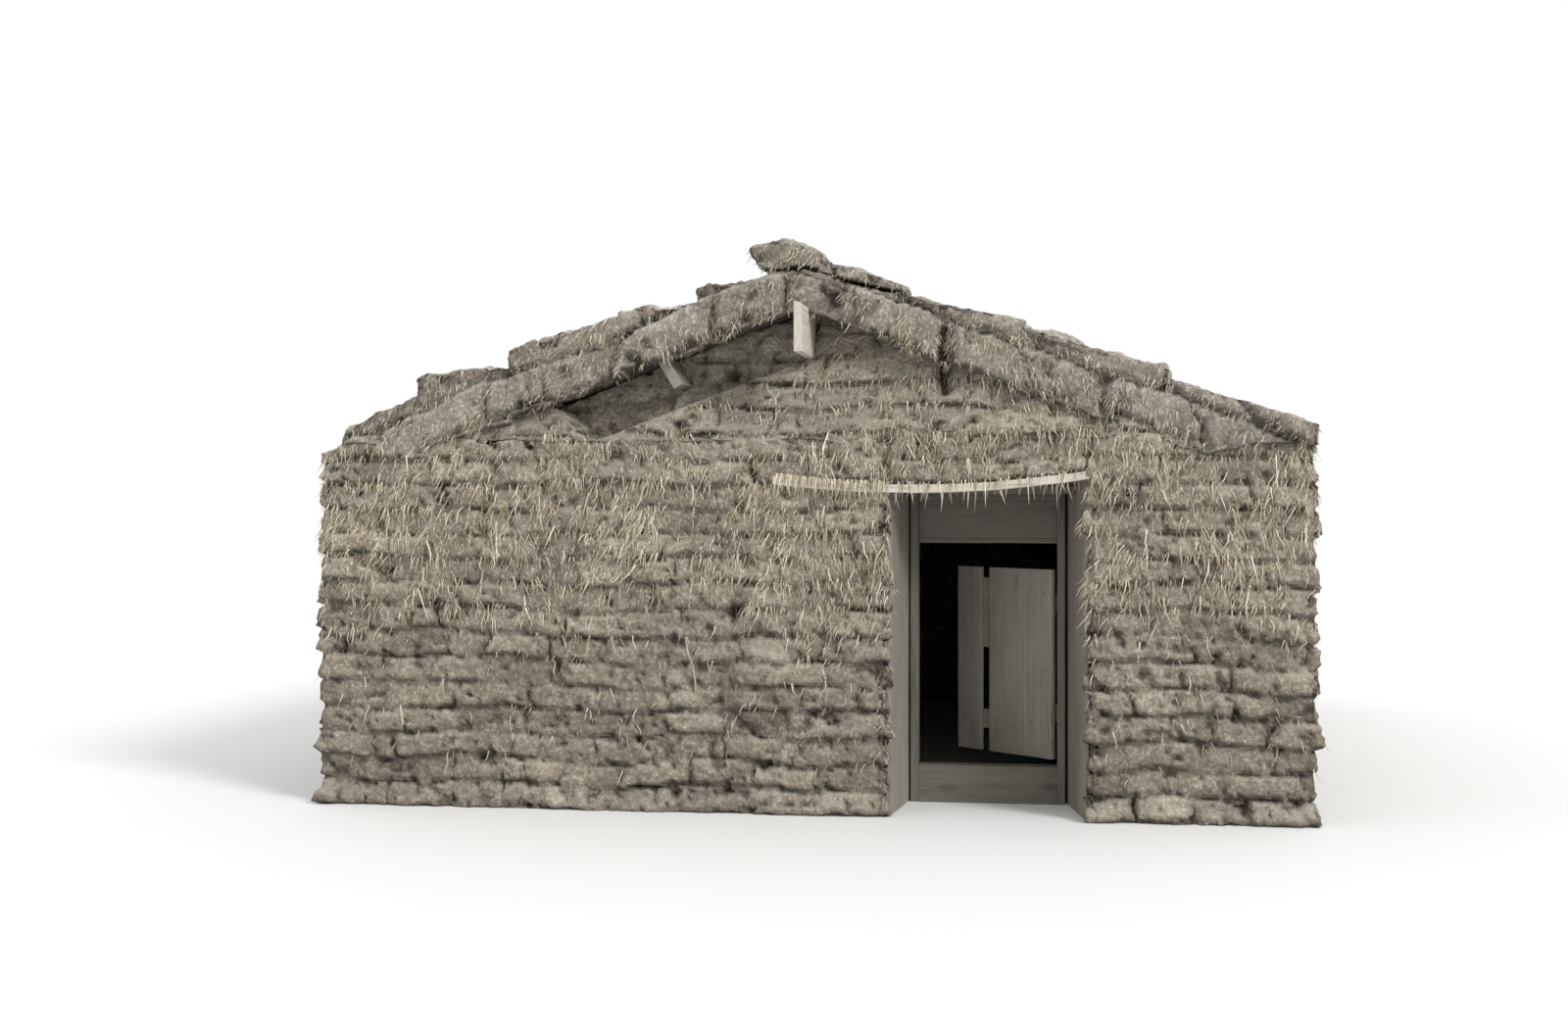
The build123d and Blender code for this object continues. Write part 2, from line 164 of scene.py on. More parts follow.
class RoofSods(bpy.types.PropertyGroup):
    """How the sods of the roof are laid and weathered"""

    sod_length: metres("Sod Length", "Usual length of a sod along the house", 0.5)
    layer_height: metres("Layer Height", "Height of one layer of sods", 0.17)
    joint_reach: metres("Joint Reach", "How far a joint rounds off a sod", 0.024)
    joint_depth: metres("Joint Depth", "Depth of an open joint", 0.055)
    bed_joints: proportion("Bed Joints", "How far the layers part, as a share", 0.8)
    least_open: proportion("Least Open", "How far the tightest joints open, as a share", 0.6)
    stagger: metres("Stagger", "How far sods stand out from each other", 0.046)
    lip: metres("Lip", "How far a layer's lower edge stands out", -0.012)
    lumps: metres("Lumps", "Height of the lumps", 0.048)
    crumbs: metres("Crumbs", "Height of the crumbled surface", 0.022)
    pits: metres("Pits", "Depth of the pits where crumbs have fallen out", 0.014)
    hollows: metres("Hollows", "Depth of the hollows where part of a sod is gone", 0.045)
    overlap: metres("Overlap", "How far a course reaches into the next one", 0.03)
    draw_in: metres("Draw In", "How far the sods' faces are drawn in, to make up for lumps", 0.006)
    droop: metres("Droop", "How far the sods hang down over the roof boards' ends", 0.055)
    cell_rake: metres("Rake Cell", "Mesh cell at the doorway gable", 0.02)
    cell_run: metres("Run Cell", "Mesh cell on the rest of the roof", 0.033)


class HangingGrass(bpy.types.PropertyGroup):
    """Dry grass and roots that hang out of the sods"""

    blade_length: metres("Blade Length", "Length of a long blade", 0.07)
    blade_width: metres("Blade Width", "Width of a blade where it leaves the sod", 0.0058)
    thatch_from: metres("Thatch From", "Height above which grass covers the walls", 0.85)
    thatch_full: metres("Thatch Full", "Height above which the grass is thickest", 1.15)
    front_density: number("Front Density", "Blades on a square metre of the doorway side", 30000.0)
    side_density: number("Side Density", "Blades on a square metre of the other sides", 9000.0)
    roof_density: number("Roof Density", "Blades on a square metre of the roof's edges", 14000.0)
    straw_density: number("Straw Density", "Straws on a square metre of the doorway side", 2200.0)
    fringe_density: number("Fringe Density", "Roots on a square metre of a fringe's strip", 6000.0)


class OldTimber(bpy.types.PropertyGroup):
    """Sawn boards that have weathered"""

    edge_round: metres("Edge Round", "Rounding of a worn edge", 0.004)
    wear: metres("Wear", "How far a worn board strays from straight", 0.003)
    cell: metres("Cell", "Length of a board's mesh cells", 0.05)
    lining_thickness: metres("Lining Thickness", "Thickness of the doorway's lining boards", 0.03)
    lintel_thickness: metres("Lintel Thickness", "Thickness of the plank over the doorway", 0.04)
    lintel_lowest: metres("Lintel Lowest", "Where across the house the lintel hangs lowest", 0.55)
    knot_reach: metres("Knot Reach", "How far the leaf's knot is from the hinges", 0.028)
    knot_height: metres("Knot Height", "Height of the leaf's knot", 0.695)
    roof_board_width: metres("Roof Board Width", "Width of one roof board", 0.23)
    roof_board_gap: metres("Roof Board Gap", "Gap between two roof boards", 0.009)
    nail_radius: metres("Nail Radius", "Radius of a nail's head", 0.004)


class Finishes(bpy.types.PropertyGroup):
    """Colours of the earth, grass, timber and iron"""

    # Deep earth of the joints, also painted as shade into the pits, the hollows and the cleft.
    earth_deep: colour("Deep Earth", "Earth in the joints", (0.045, 0.033, 0.023))
    earth_mid: colour("Earth", "Earth of the walls", (0.50, 0.43, 0.34))
    # Pale earth is the dry crumbs, and also the colour that upward faces are painted towards as a
    # highlight.
    earth_pale: colour("Pale Earth", "Dry crumbs on the walls", (0.80, 0.73, 0.61))
    # The sods behind the gable's open gap are the walls' sods, painted paler: painted light that
    # lifts the shade of that recess.
    gap_mid: colour("Gap Earth", "Earth behind the open gap of the gable", (0.68, 0.60, 0.48))
    gap_pale: colour("Pale Gap Earth", "Dry crumbs behind that gap", (0.94, 0.87, 0.74))
    # Roof earth; its pale colour also paints the upward faces of the roof sods, as crust and
    # painted highlight.
    roof_mid: colour("Roof Earth", "Earth of the roof sods", (0.62, 0.555, 0.46))
    roof_pale: colour("Pale Roof Earth", "Dry crust of the roof sods", (0.88, 0.82, 0.73))
    straw_dark: colour("Old Grass", "Grass that has gone dull", (0.25, 0.20, 0.13))
    straw_pale: colour("Dry Grass", "Bleached grass", (0.84, 0.77, 0.62))
    pale_board: colour("Pale Board", "Weathered boards in the open", (0.55, 0.51, 0.44))
    grey_board: colour("Grey Board", "Doorway lining and purlins", (0.27, 0.245, 0.21))
    frame_board: colour("Frame Board", "Frame and transom of the door", (0.155, 0.14, 0.12))
    # Roof boards: near-black, partly the roof earth's stain and partly painted shade, so that their
    # ends under the sods read as in shadow.
    roof_board: colour("Roof Board", "Boards stained by the roof's earth", (0.075, 0.062, 0.05))
    door_board: colour("Door Board", "Boards of the door leaf", (0.33, 0.30, 0.26))
    rust: colour("Rust", "Rust on the hinges and nails", (0.17, 0.075, 0.035))
    iron: colour("Iron", "Bare iron under the rust", (0.06, 0.055, 0.05))
    floor: colour("Floor", "Floor of the studio", (0.78, 0.78, 0.77))


class Studio(bpy.types.PropertyGroup):
    """Camera, floor and light"""

    camera_place: spot("Camera Place", "Where the camera stands", (1.347, -12.55, 1.566))
    camera_heading: degrees("Camera Heading", "How far the camera turns from the long axis", 8.53)
    lens: number("Lens", "Focal length in millimetres", 45.0)
    horizon_shift: number("Horizon Shift", "Rise of the horizon as a share of the width", -0.0134)
    floor_size: metres("Floor Size", "Width of the floor", 160.0)
    key_strength: number("Key Strength", "Strength of the main light", 2.15)
    key_softness: degrees("Key Softness", "Width of the main light as it is seen", 18)
    key_bearing: degrees("Key Bearing", "Bearing of the main light, right of the front", 52)
    key_height: degrees("Key Height", "Height of the main light above the horizon", 31)
    sky_strength: number("Sky Strength", "Strength of the light all round", 1.05)


class TurfHouse(bpy.types.PropertyGroup):
    """All sizes and colours of the turf house"""

    wall_sods: bpy.props.PointerProperty(type=WallSods)
    roof_sods: bpy.props.PointerProperty(type=RoofSods)
    grass: bpy.props.PointerProperty(type=HangingGrass)
    timber: bpy.props.PointerProperty(type=OldTimber)
    finishes: bpy.props.PointerProperty(type=Finishes)
    studio: bpy.props.PointerProperty(type=Studio)


def house():
    """The settings of the scene that is being built."""
    return bpy.context.scene.turf_house


def settings_of(group, *names):
    return {name: getattr(group, name) for name in names}


# Wiring of node trees
class Signal:
    """A node's output, which plain sums and products turn into others."""

    def __init__(self, wire, socket):
        self.wire = wire
        self.socket = socket

    def __add__(self, other):
        return self.wire.maths("ADD", self, other)

    def __sub__(self, other):
        return self.wire.maths("SUBTRACT", self, other)

    def __rsub__(self, other):
        return self.wire.maths("SUBTRACT", other, self)

    def __mul__(self, other):
        return self.wire.maths("MULTIPLY", self, other)

    def __truediv__(self, other):
        return self.wire.maths("DIVIDE", self, other)

    def __rtruediv__(self, other):
        return self.wire.maths("DIVIDE", other, self)

    def __abs__(self):
        return self.wire.maths("ABSOLUTE", self)


class Outputs:
    """A node's outputs as signals, by name or number."""

    def __init__(self, wire, node):
        self.wire = wire
        self.sockets = node.outputs

    def __getitem__(self, name):
        return Signal(self.wire, self.sockets[name])


class Wiring:
    """Puts nodes into one tree and joins them."""

    def __init__(self, tree):
        self.tree = tree

    def feed(self, inputs, values):
        for name, value in values.items():
            if isinstance(value, Signal):
                self.tree.links.new(value.socket, inputs[name])
            else:
                inputs[name].default_value = value

    def node(self, kind, inputs=None, **settings):
        """Add a node; its inputs are by name or number."""
        node = self.tree.nodes.new(kind)
        for name, value in settings.items():
            setattr(node, name, value)
        self.feed(node.inputs, inputs or {})
        return Outputs(self, node)

    def maths(self, operation, *values):
        return self.node("ShaderNodeMath", dict(enumerate(values)), operation=operation)[0]

    def vectors(self, operation, *values):
        return self.node("ShaderNodeVectorMath", dict(enumerate(values)), operation=operation)[0]

    def greatest(self, first, *others):
        for other in others:
            first = self.maths("MAXIMUM", first, other)
        return first

    def fit(self, value, low, high, to_low=0.0, to_high=1.0):
        """Stretch a value between two limits, and hold it at both."""
        return self.node("ShaderNodeMapRange", {
            "Value": value, "From Min": low, "From Max": high, "To Min": to_low,
            "To Max": to_high})[0]

    def fall(self, value, low, high):
        """Full up to one limit, and down to nothing at the next."""
        return self.fit(value, low, high, 1.0, 0.0)

    def point(self, x, y, z):
        return self.node("ShaderNodeCombineXYZ", {0: x, 1: y, 2: z})[0]

    def parts(self, vector):
        outputs = self.node("ShaderNodeSeparateXYZ", {0: vector})
        return outputs[0], outputs[1], outputs[2]

    def distance(self, place, centre, reach):
        """How far a place is from a centre, as a share of a reach each way."""
        apart = self.vectors("SUBTRACT", place, centre)
        apart = self.vectors("MULTIPLY", apart, [1 / each for each in reach])
        return self.node("ShaderNodeVectorMath", {0: apart}, operation="LENGTH")["Value"]

    def noise(self, vector, scale, detail=2.0, roughness=0.5, output=0):
        return self.node("ShaderNodeTexNoise", {
            "Vector": vector, "Scale": scale, "Detail": detail, "Roughness": roughness})[output]

    def blend(self, share, first, second, kind="MIX"):
        """Mix two colours."""
        return self.node("ShaderNodeMix", {0: share, 6: first, 7: second}, data_type="RGBA",
                         blend_type=kind)[2]

    def arrange(self):
        """Lay the nodes out in columns, each to the right of what feeds it."""
        column = {node: 0 for node in self.tree.nodes}
        for _ in self.tree.nodes:
            for link in self.tree.links:
                column[link.to_node] = max(column[link.to_node], column[link.from_node] + 1)
        rows = {}
        for node, place in column.items():
            rows[place] = rows.get(place, 0) + 1
            node.location = (place * 220, -rows[place] * 200)


NUMBER = "NodeSocketFloat"
VECTOR = "NodeSocketVector"
SHAPE = "NodeSocketGeometry"
SOCKET_TYPES = {float: NUMBER, int: "NodeSocketInt", tuple: VECTOR}


class Group(Wiring):
    """The wiring of a new node group. Each input is given with its default or its type."""

    def __init__(self, name, kind, inputs, **outputs):
        super().__init__(bpy.data.node_groups.new(name, kind))
        for socket_name, value in inputs.items():
            socket_type = SOCKET_TYPES.get(type(value), value)
            socket = self.tree.interface.new_socket(
                socket_name, in_out="INPUT", socket_type=socket_type)
            if socket_type != value:
                socket.default_value = value
        for socket_name, socket_type in outputs.items():
            self.tree.interface.new_socket(
                socket_name, in_out="OUTPUT", socket_type=socket_type)
        self.given = self.node("NodeGroupInput")
        if kind == "GeometryNodeTree":
            self.tree.is_modifier = SHAPE in outputs.values()
            self.place = self.node("GeometryNodeInputPosition")[0]

    def noted(self, name):
        """An attribute of the shape's points."""
        return self.node("GeometryNodeInputNamedAttribute", {"Name": name},
                         data_type="FLOAT")["Attribute"]

    def with_note(self, shape, name, value, domain="POINT"):
        return self.node("GeometryNodeStoreNamedAttribute",
                         {"Geometry": shape, "Name": name, "Value": value},
                         data_type="FLOAT", domain=domain)[0]

    def within_room(self, margin):
        """Two masks: inside the room's width, and inside its length."""
        x, y, _ = self.parts(self.place)
        return (self.maths("LESS_THAN", abs(x), inner_half_width + margin),
                self.maths("LESS_THAN", abs(y), inner_half_length + margin))

    def finished(self, **outputs):
        self.feed(self.tree.nodes.new("NodeGroupOutput").inputs, outputs)
        self.arrange()
        return self.tree


# Relief of laid sods
def sod_pattern_group():
    """One face of laid sods: its height, its joints and a tone for each sod."""
    wire = Group(
        "sod pattern", "GeometryNodeTree",
        {"Along": 0.0, "Up": 0.0, "Sod Length": 0.3, "Course Height": 0.12, "Joint Reach": 0.03,
         "Joint Depth": 0.05, "Stagger": 0.03, "Lip": 0.01, "Bed Joints": 0.0, "Least Open": 0.1},
        Height=NUMBER, Joint=NUMBER, Tone=NUMBER)
    given = wire.given
    flat = wire.point(given["Along"], given["Up"], 0.0)
    wander = wire.parts(wire.noise(flat, 1.7, output="Color"))
    ragged = wire.parts(wire.noise(flat, 11.0, 3.0, output="Color"))
    raggedness = 0.035
    wander_along = (wander[0] - 0.5) * (given["Sod Length"] * 1.3)
    wander_up = (wander[1] - 0.5) * given["Course Height"]
    along = given["Along"] + (wander_along + (ragged[0] - 0.5) * raggedness)
    up = given["Up"] + (wander_up + (ragged[1] - 0.5) * raggedness)
    laid = wire.node("ShaderNodeTexBrick", {
        "Vector": wire.point(along, up, 0.0), "Color1": (0, 0, 0, 1), "Color2": (1, 1, 1, 1),
        "Mortar": (0.5, 0.5, 0.5, 1), "Scale": 1.0, "Mortar Size": given["Joint Reach"],
        "Mortar Smooth": 1.0, "Brick Width": given["Sod Length"],
        "Row Height": given["Course Height"]}, offset=0.45, squash=0.8, squash_frequency=3)
    tone = wire.parts(laid["Color"])[0]
    openness = wire.fit(wire.noise(flat, 4.3, 3.0), 0.42, 0.62, given["Least Open"], 1.0)
    course = wire.maths("FRACT", up / given["Course Height"])
    bed = wire.fit(abs(course - 0.5), 0.36, 0.5)
    joint = wire.greatest(laid["Fac"] * openness, bed * given["Bed Joints"])
    height = (tone - 0.5) * given["Stagger"] + (0.5 - course) * given["Lip"]
    return wire.finished(Height=height - joint * given["Joint Depth"], Joint=joint, Tone=tone)


def sod_relief_group():
    """Turns the plain faces of a block into laid sods, and notes joints and tones on its points."""
    wire = Group(
        "sod relief", "GeometryNodeTree",
        {"Block": SHAPE, "Sod Length": 0.3, "Course Height": 0.12, "Top Course": 0.3,
         "Joint Reach": 0.03, "Joint Depth": 0.05, "Stagger": 0.03, "Lip": 0.01, "Lumps": 0.02,
         "Crumbs": 0.01, "Foot": 0.0, "Roof Slope": 0.0, "Top Share": 0.0, "Inside Share": 0.35,
         "Draw In": 0.0, "Bed Joints": 0.0, "Side Pattern": 1.0, "Crumbled Below": 99.0,
         "Layer Start": 0.0, "Pits": 0.0, "Hollows": 0.0, "Cleft Place": (0.0, 0.0, 0.0),
         "Cleft Depth": 0.0, "Slump Place": (0.0, 0.0, 0.0), "Slump Height": 0.0, "Swell": 0.0,
         "Row Shift": 0.0, "Droop": 0.0, "Least Open": 0.1, "Worn Edge": 0.0},
        Block=SHAPE)
    given = wire.given
    place = wire.place
    x, y, z = wire.parts(place)
    facing_x, facing_y, facing_z = wire.parts(wire.node("GeometryNodeInputNormal")[0])
    shared = {name: given[name] for name in (
        "Sod Length", "Joint Reach", "Joint Depth", "Stagger", "Lip", "Bed Joints", "Least Open")}

    def laid(along, up, course):
        return wire.node("GeometryNodeGroup", {
            "Along": along, "Up": up, "Course Height": course, **shared},
            node_tree=tree_for("sod pattern"))

    # Each way that a face can look takes another part of the pattern, so that no two match
    end_shift, side_shift, top_shift = 5.7, 13.1, 31.3
    height_up = z + abs(x) * given["Roof Slope"] - given["Layer Start"]
    ends = laid(x + wire.maths("SIGN", y) * end_shift, height_up, given["Course Height"])
    sides = laid(y + wire.maths("SIGN", x) * side_shift, height_up, given["Course Height"])
    tops = laid(y + (given["Row Shift"] + top_shift), abs(x) + given["Top Course"] * 0.45,
                given["Top Course"])
    end_share = wire.fit(abs(facing_y), 0.45, 0.7)
    side_share = wire.fit(abs(facing_x), 0.45, 0.7)
    top_share = wire.fit(facing_z, 0.45, 0.8) * given["Top Share"]

    # Weather on every face alike
    lumps = (wire.noise(place, 5.5) - 0.5) * (given["Lumps"] * 2.0)
    crumbs = (wire.noise(place, 21.0, 4.0, 0.7) - 0.5) * (given["Crumbs"] * 2.0)
    pitted = wire.fall(wire.noise(place, 15.0, 3.0, 0.6), 0.37, 0.45)
    flattened = wire.vectors("MULTIPLY", place, (1.0, 1.0, 1.5))
    hollowed = wire.fall(wire.noise(flattened, 4.6, 3.0, 0.6), 0.30, 0.38)
    cleft = (wire.distance(place, given["Cleft Place"], (0.042, 0.4, 0.19))
             + (wire.noise(place, 9.0) - 0.5) * 0.9)
    cleft = wire.fall(cleft, 0.75, 1.1)
    cleft = cleft * wire.maths("GREATER_THAN", given["Cleft Depth"], 0.0)
    sunk = (pitted * given["Pits"] + hollowed * given["Hollows"] + given["Draw In"]
            + cleft * given["Cleft Depth"])
    slumped = wire.fit(wire.distance(place, given["Slump Place"], (0.2, 0.2, 0.24)),
                       0.0, 1.0, 1.5, 0.0)
    slumped = wire.maths("SMOOTH_MIN", slumped, 0.6, 0.3) * given["Slump Height"]
    rough = lumps + crumbs + slumped - sunk

    # The gables swell under the roof's edge, and the roof's edge droops
    rake_height = z + abs(x) * roof_slope
    swell = wire.fit(rake_height, ridge_top - 0.5, ridge_top - 0.1) * given["Swell"]
    swell = swell * wire.fall(abs(x), boards_end * 0.5, boards_end * 0.85)
    droop = (wire.fall(rake_height, ridge_top, ridge_top + 0.08)
             * wire.fit(abs(y), boards_half_length - 0.005, boards_half_length + 0.015))
    droop = droop * wire.fit(wire.noise(place, 6.0, 3.0), 0.3, 0.7, 0.5, 1.3)
    droop = droop * (given["Droop"] * -1.0)

    # Faces in the room are plainer, and hidden ones stay where they are
    room_x, room_y = wire.within_room(0.01)
    in_room = room_x * room_y * wire.maths("LESS_THAN", z, wall_top + 0.01)
    at_corner = wire.maths("COMPARE", abs(y), inner_half_length, 0.01) * (1.0 - room_x)
    end_share = end_share * (1.0 - at_corner)
    strength = (1.0 - in_room * (1.0 - given["Inside Share"])) * (1.0 - wire.noted("still"))
    near_ground = wire.fall(z, 0.0, 0.16)
    foot = near_ground * near_ground * given["Foot"]

    def push(height, share, direction):
        return (height + rough + foot) * share * (strength * direction)

    # Where walls meet gables the bed wanders, and the open top wears down
    bed_wave = wire.noise(wire.point(x, y, 0.0), 3.0, 3.0) - 0.5
    bed_wave = bed_wave * wire.fall(abs(z - wall_top), 0.0, 0.1) * 0.07
    worn = (wire.fall(x, -half_width, 0.16 - half_width)
            * wire.fit(z, wall_top - 0.12, wall_top))
    sunk_top = worn * (given["Worn Edge"] * -1.0) + droop
    moved = wire.point(
        push(sides["Height"] * given["Side Pattern"], side_share, wire.maths("SIGN", facing_x)),
        push(ends["Height"] + swell, end_share, wire.maths("SIGN", facing_y)),
        push(tops["Height"], top_share, 1.0) + bed_wave + sunk_top)

    seam = wire.greatest(
        ends["Joint"] * end_share, sides["Joint"] * given["Side Pattern"] * side_share,
        tops["Joint"] * top_share)
    wandering = z + (wire.noise(place, 1.4) - 0.5) * 0.5
    matted = wire.fit(wandering, given["Crumbled Below"] - 0.2, given["Crumbled Below"] + 0.2)
    tone = (ends["Tone"] * end_share + sides["Tone"] * side_share * (1.0 - end_share)
            + tops["Tone"] * top_share)
    shape = given["Block"]
    # The joint mask takes the open joints, and also the pits, the hollows and the cleft, which the
    # earth material darkens as painted shade in these recesses.
    for name, value in (("joint", wire.greatest(seam, pitted * 0.8, hollowed, cleft)),
                        ("seam", seam), ("tone", tone), ("matted", matted)):
        shape = wire.with_note(shape, name, value)
    shape = wire.node("GeometryNodeSetPosition", {"Geometry": shape, "Offset": moved})[0]
    # Which way each point faces up: the earth material paints upward faces pale, as crust and
    # painted highlight, and downward faces dark, as painted shade.
    return wire.finished(Block=wire.with_note(shape, "upward", facing_z))


# Grass that hangs out of the sods
def hanging_grass_group():
    """Sets blades on the outer faces of a block, thick above a height and along the joints."""
    wire = Group(
        "hanging grass", "GeometryNodeTree",
        {"Block": SHAPE, "Blades": "NodeSocketCollection", "Density": 1000.0, "Thatch From": 0.9,
         "Thatch Full": 1.2, "Low Share": 0.07, "Joint Share": 0.8, "Patchy": 1.0, "Length": 1.0,
         "Lift": 0.42, "Side Share": 1.0, "Lean": 0.45, "Seed": 0},
        Grass=SHAPE)
    given = wire.given
    place = wire.place
    z = wire.parts(place)[2]
    _, facing_y, facing_z = wire.parts(wire.node("GeometryNodeInputNormal")[0])
    upright = (wire.fall(abs(facing_z), 0.55, 0.85)
               * wire.fit(facing_y, -0.7, -0.4, 1.0, given["Side Share"]))
    room_x, room_y = wire.within_room(0.05)
    free = wire.maths("LESS_THAN", wire.noted("still"), 0.5)
    clear = (1.0 - room_x * room_y) * free * wire.fit(z, 0.15, 0.3)
    patches = wire.fit(wire.noise(place, 3.2, 3.0), 0.38, 0.62, 0.12, 1.0)
    tall = wire.vectors("MULTIPLY", place, (1.0, 1.0, 0.7))
    clumps = wire.fit(wire.noise(tall, 19.0), 0.5, 0.6, 0.05, 1.0)
    patches = 1.0 - (1.0 - patches * clumps) * given["Patchy"]
    thatch = wire.fit(z + (wire.noise(place, 2.0) - 0.5) * 0.5,
                      given["Thatch From"], given["Thatch Full"], given["Low Share"], 1.0)
    at_joint = wire.fit(wire.noted("seam"), 0.0, 0.7, 1.0 - given["Joint Share"], 1.0)
    density = given["Density"] * thatch * (patches * at_joint) * (upright * clear)
    spread = wire.node("GeometryNodeDistributePointsOnFaces", {
        "Mesh": given["Block"], "Density": density, "Seed": given["Seed"]})

    def chance(low, high, offset):
        return wire.node("FunctionNodeRandomValue", {
            2: low, 3: high, "Seed": given["Seed"] + offset}, data_type="FLOAT")[1]

    out_x, out_y, _ = wire.parts(spread["Normal"])
    turn = wire.maths("ARCTAN2", out_x, out_y * -1.0) + chance(-0.25, 0.25, 1)
    combed = (wire.noise(place, 1.3, 1.0) - 0.42) * 4.0
    lean = (chance(-1.0, 1.0, 2) + combed) * given["Lean"]
    lift = chance(-0.05, given["Lift"], 3)
    size = chance(0.35, 1.0, 4) * chance(0.6, 1.5, 5) * given["Length"]
    blades = wire.node("GeometryNodeCollectionInfo", {
        "Collection": given["Blades"], "Separate Children": True, "Reset Children": True})
    pick_one = wire.node("FunctionNodeRandomValue", {4: 0, 5: 20, "Seed": 6}, data_type="INT")
    placed = wire.node("GeometryNodeInstanceOnPoints", {
        "Points": spread["Points"], "Instance": blades[0], "Pick Instance": True,
        "Instance Index": pick_one[2], "Rotation": wire.point(lift * -1.0, lean, turn),
        "Scale": wire.point(wire.maths("SQRT", size), 1.0, size)})[0]
    shaded = wire.with_note(placed, "shade", chance(0.0, 1.0, 7), "INSTANCE")
    real = wire.node("GeometryNodeRealizeInstances", {"Geometry": shaded})
    return wire.finished(Grass=real[0])


def timber_wear_group():
    """Lets a board's surface stray a little, and bends it up from its lowest place."""
    wire = Group("timber wear", "GeometryNodeTree",
                 {"Board": SHAPE, "Wear": 0.003, "Lowest Place": 0.0, "Rise": 0.0}, Board=SHAPE)
    given = wire.given
    stray = wire.noise(wire.place, 4.0, 4.0, output="Color")
    stray = wire.vectors("SUBTRACT", stray, (0.5, 0.5, 0.5))
    stray = wire.node("ShaderNodeVectorMath", {0: stray, "Scale": given["Wear"] * 2.0},
                      operation="SCALE")[0]
    reach = wire.parts(wire.place)[0] - given["Lowest Place"]
    moved = wire.vectors("ADD", stray, wire.point(0, 0, reach * reach * given["Rise"]))
    shape = wire.node("GeometryNodeSetPosition", {"Geometry": given["Board"], "Offset": moved})
    return wire.finished(Board=shape[0])


# Shader groups
def soil_grain_group():
    """Crumbled earth with roots in it: a shade, a mask of roots, and a height."""
    wire = Group("soil grain", "ShaderNodeTree",
                 {"Vector": VECTOR, "Crumb Size": 0.022, "Root Length": 0.05, "Root Width": 0.008},
                 Shade=NUMBER, Roots=NUMBER, Height=NUMBER)
    given = wire.given
    place = given["Vector"]
    scale = 1.0 / given["Crumb Size"]
    crumbs = wire.node("ShaderNodeTexVoronoi", {"Vector": place, "Scale": scale},
                       feature="SMOOTH_F1")["Distance"]
    fine = wire.noise(place, scale * 3.2, 5.0, 0.7)
    broad = wire.noise(place, scale * 0.32, 4.0, 0.6)
    across = 1.0 / given["Root Width"]
    down = 1.0 / given["Root Length"]
    threads = []
    for lean in (0.45, -0.15):
        leaning = wire.node("ShaderNodeMapping", {"Vector": place, "Rotation": (0.0, lean, 0.2)})
        drawn_out = wire.vectors("MULTIPLY", leaning[0], wire.point(across, across, down))
        threads.append(wire.noise(drawn_out, 1.0, 2.0, 0.6))
    roots = wire.fit(wire.greatest(*threads), 0.57, 0.67)
    shade = (0.75 - crumbs) * 0.5 + ((fine - 0.5) * 0.9 + broad * 0.55)
    height = (0.6 - crumbs) * 0.9 + (fine * 0.55 + roots * 0.35)
    return wire.finished(Shade=wire.fit(shade, 0.15, 0.95), Roots=roots, Height=height)


def wood_grain_group():
    """Weathered sawn wood with its grain along Z: a shade, a mask of cracks and knots, a height."""
    wire = Group("wood grain", "ShaderNodeTree", {"Vector": VECTOR, "Cracks": 0.5, "Knots": 0.75},
                 Shade=NUMBER, Dark=NUMBER, Height=NUMBER)
    given = wire.given
    stray = wire.noise(given["Vector"], 3.0, output="Color")
    stray = wire.vectors("MULTIPLY", stray, (0.03, 0.03, 0.0))
    place = wire.vectors("ADD", given["Vector"], stray)

    def streaks(across, along, detail, roughness):
        drawn_out = wire.vectors("MULTIPLY", place, (across, across, along))
        return wire.noise(drawn_out, 1.0, detail, roughness)

    grain = streaks(55.0, 1.6, 5.0, 0.65)
    fibres = streaks(220.0, 5.0, 3.0, 0.6)
    stains = streaks(5.0, 1.8, 4.0, 0.6)
    splits = streaks(26.0, 0.7, 2.0, 0.4)
    crack = wire.fall(abs(splits - 0.5), 0.0, 0.012)
    crack = crack * wire.fit(wire.noise(place, 2.3), 0.5, 0.62) * given["Cracks"]
    knots = wire.node("ShaderNodeTexVoronoi", {
        "Vector": wire.vectors("MULTIPLY", place, (5.2, 5.2, 2.1)), "Scale": 1.0})
    knot = wire.fall(knots["Distance"], 0.07, 0.16)
    dark = wire.greatest(crack, knot * given["Knots"])
    shade = grain * 0.6 + (fibres * 0.3 + stains * 0.55)
    height = grain * 0.6 + fibres * 0.35 - dark * 0.9
    return wire.finished(Shade=wire.fit(shade, 0.42, 1.0), Dark=dark, Height=height)


GROUPS = {
    "sod pattern": sod_pattern_group, "sod relief": sod_relief_group,
    "hanging grass": hanging_grass_group, "timber wear": timber_wear_group,
    "soil grain": soil_grain_group, "wood grain": wood_grain_group,
}


def tree_for(name):
    """A node group by name, built the first time it is wanted."""
    return bpy.data.node_groups.get(name) or GROUPS[name]()


# Materials
class Finish(Wiring):
    """The wiring of a new material, whose patterns lie on a piece's own coordinates."""

    def __init__(self, name):
        self.material = bpy.data.materials.new(name)
        self.material.use_nodes = True
        super().__init__(self.material.node_tree)
        self.place = self.node("ShaderNodeTexCoord")["Object"]

    def noted(self, name):
        """An attribute that a modifier left on the points."""
        return self.node("ShaderNodeAttribute", attribute_name=name)["Fac"]

    def bumped(self, height, distance):
        return self.node("ShaderNodeBump", {"Height": height, "Distance": distance,
                                            "Strength": 1.0})[0]

    def group(self, name, inputs):
        return self.node("ShaderNodeGroup", inputs, node_tree=tree_for(name))

    def finished(self, shader):
        self.feed(self.tree.nodes["Principled BSDF"].inputs, shader)
        self.arrange()
        return self.material


def opaque(value, strength=1.0):
    return (*(Vector(value) * strength), 1.0)


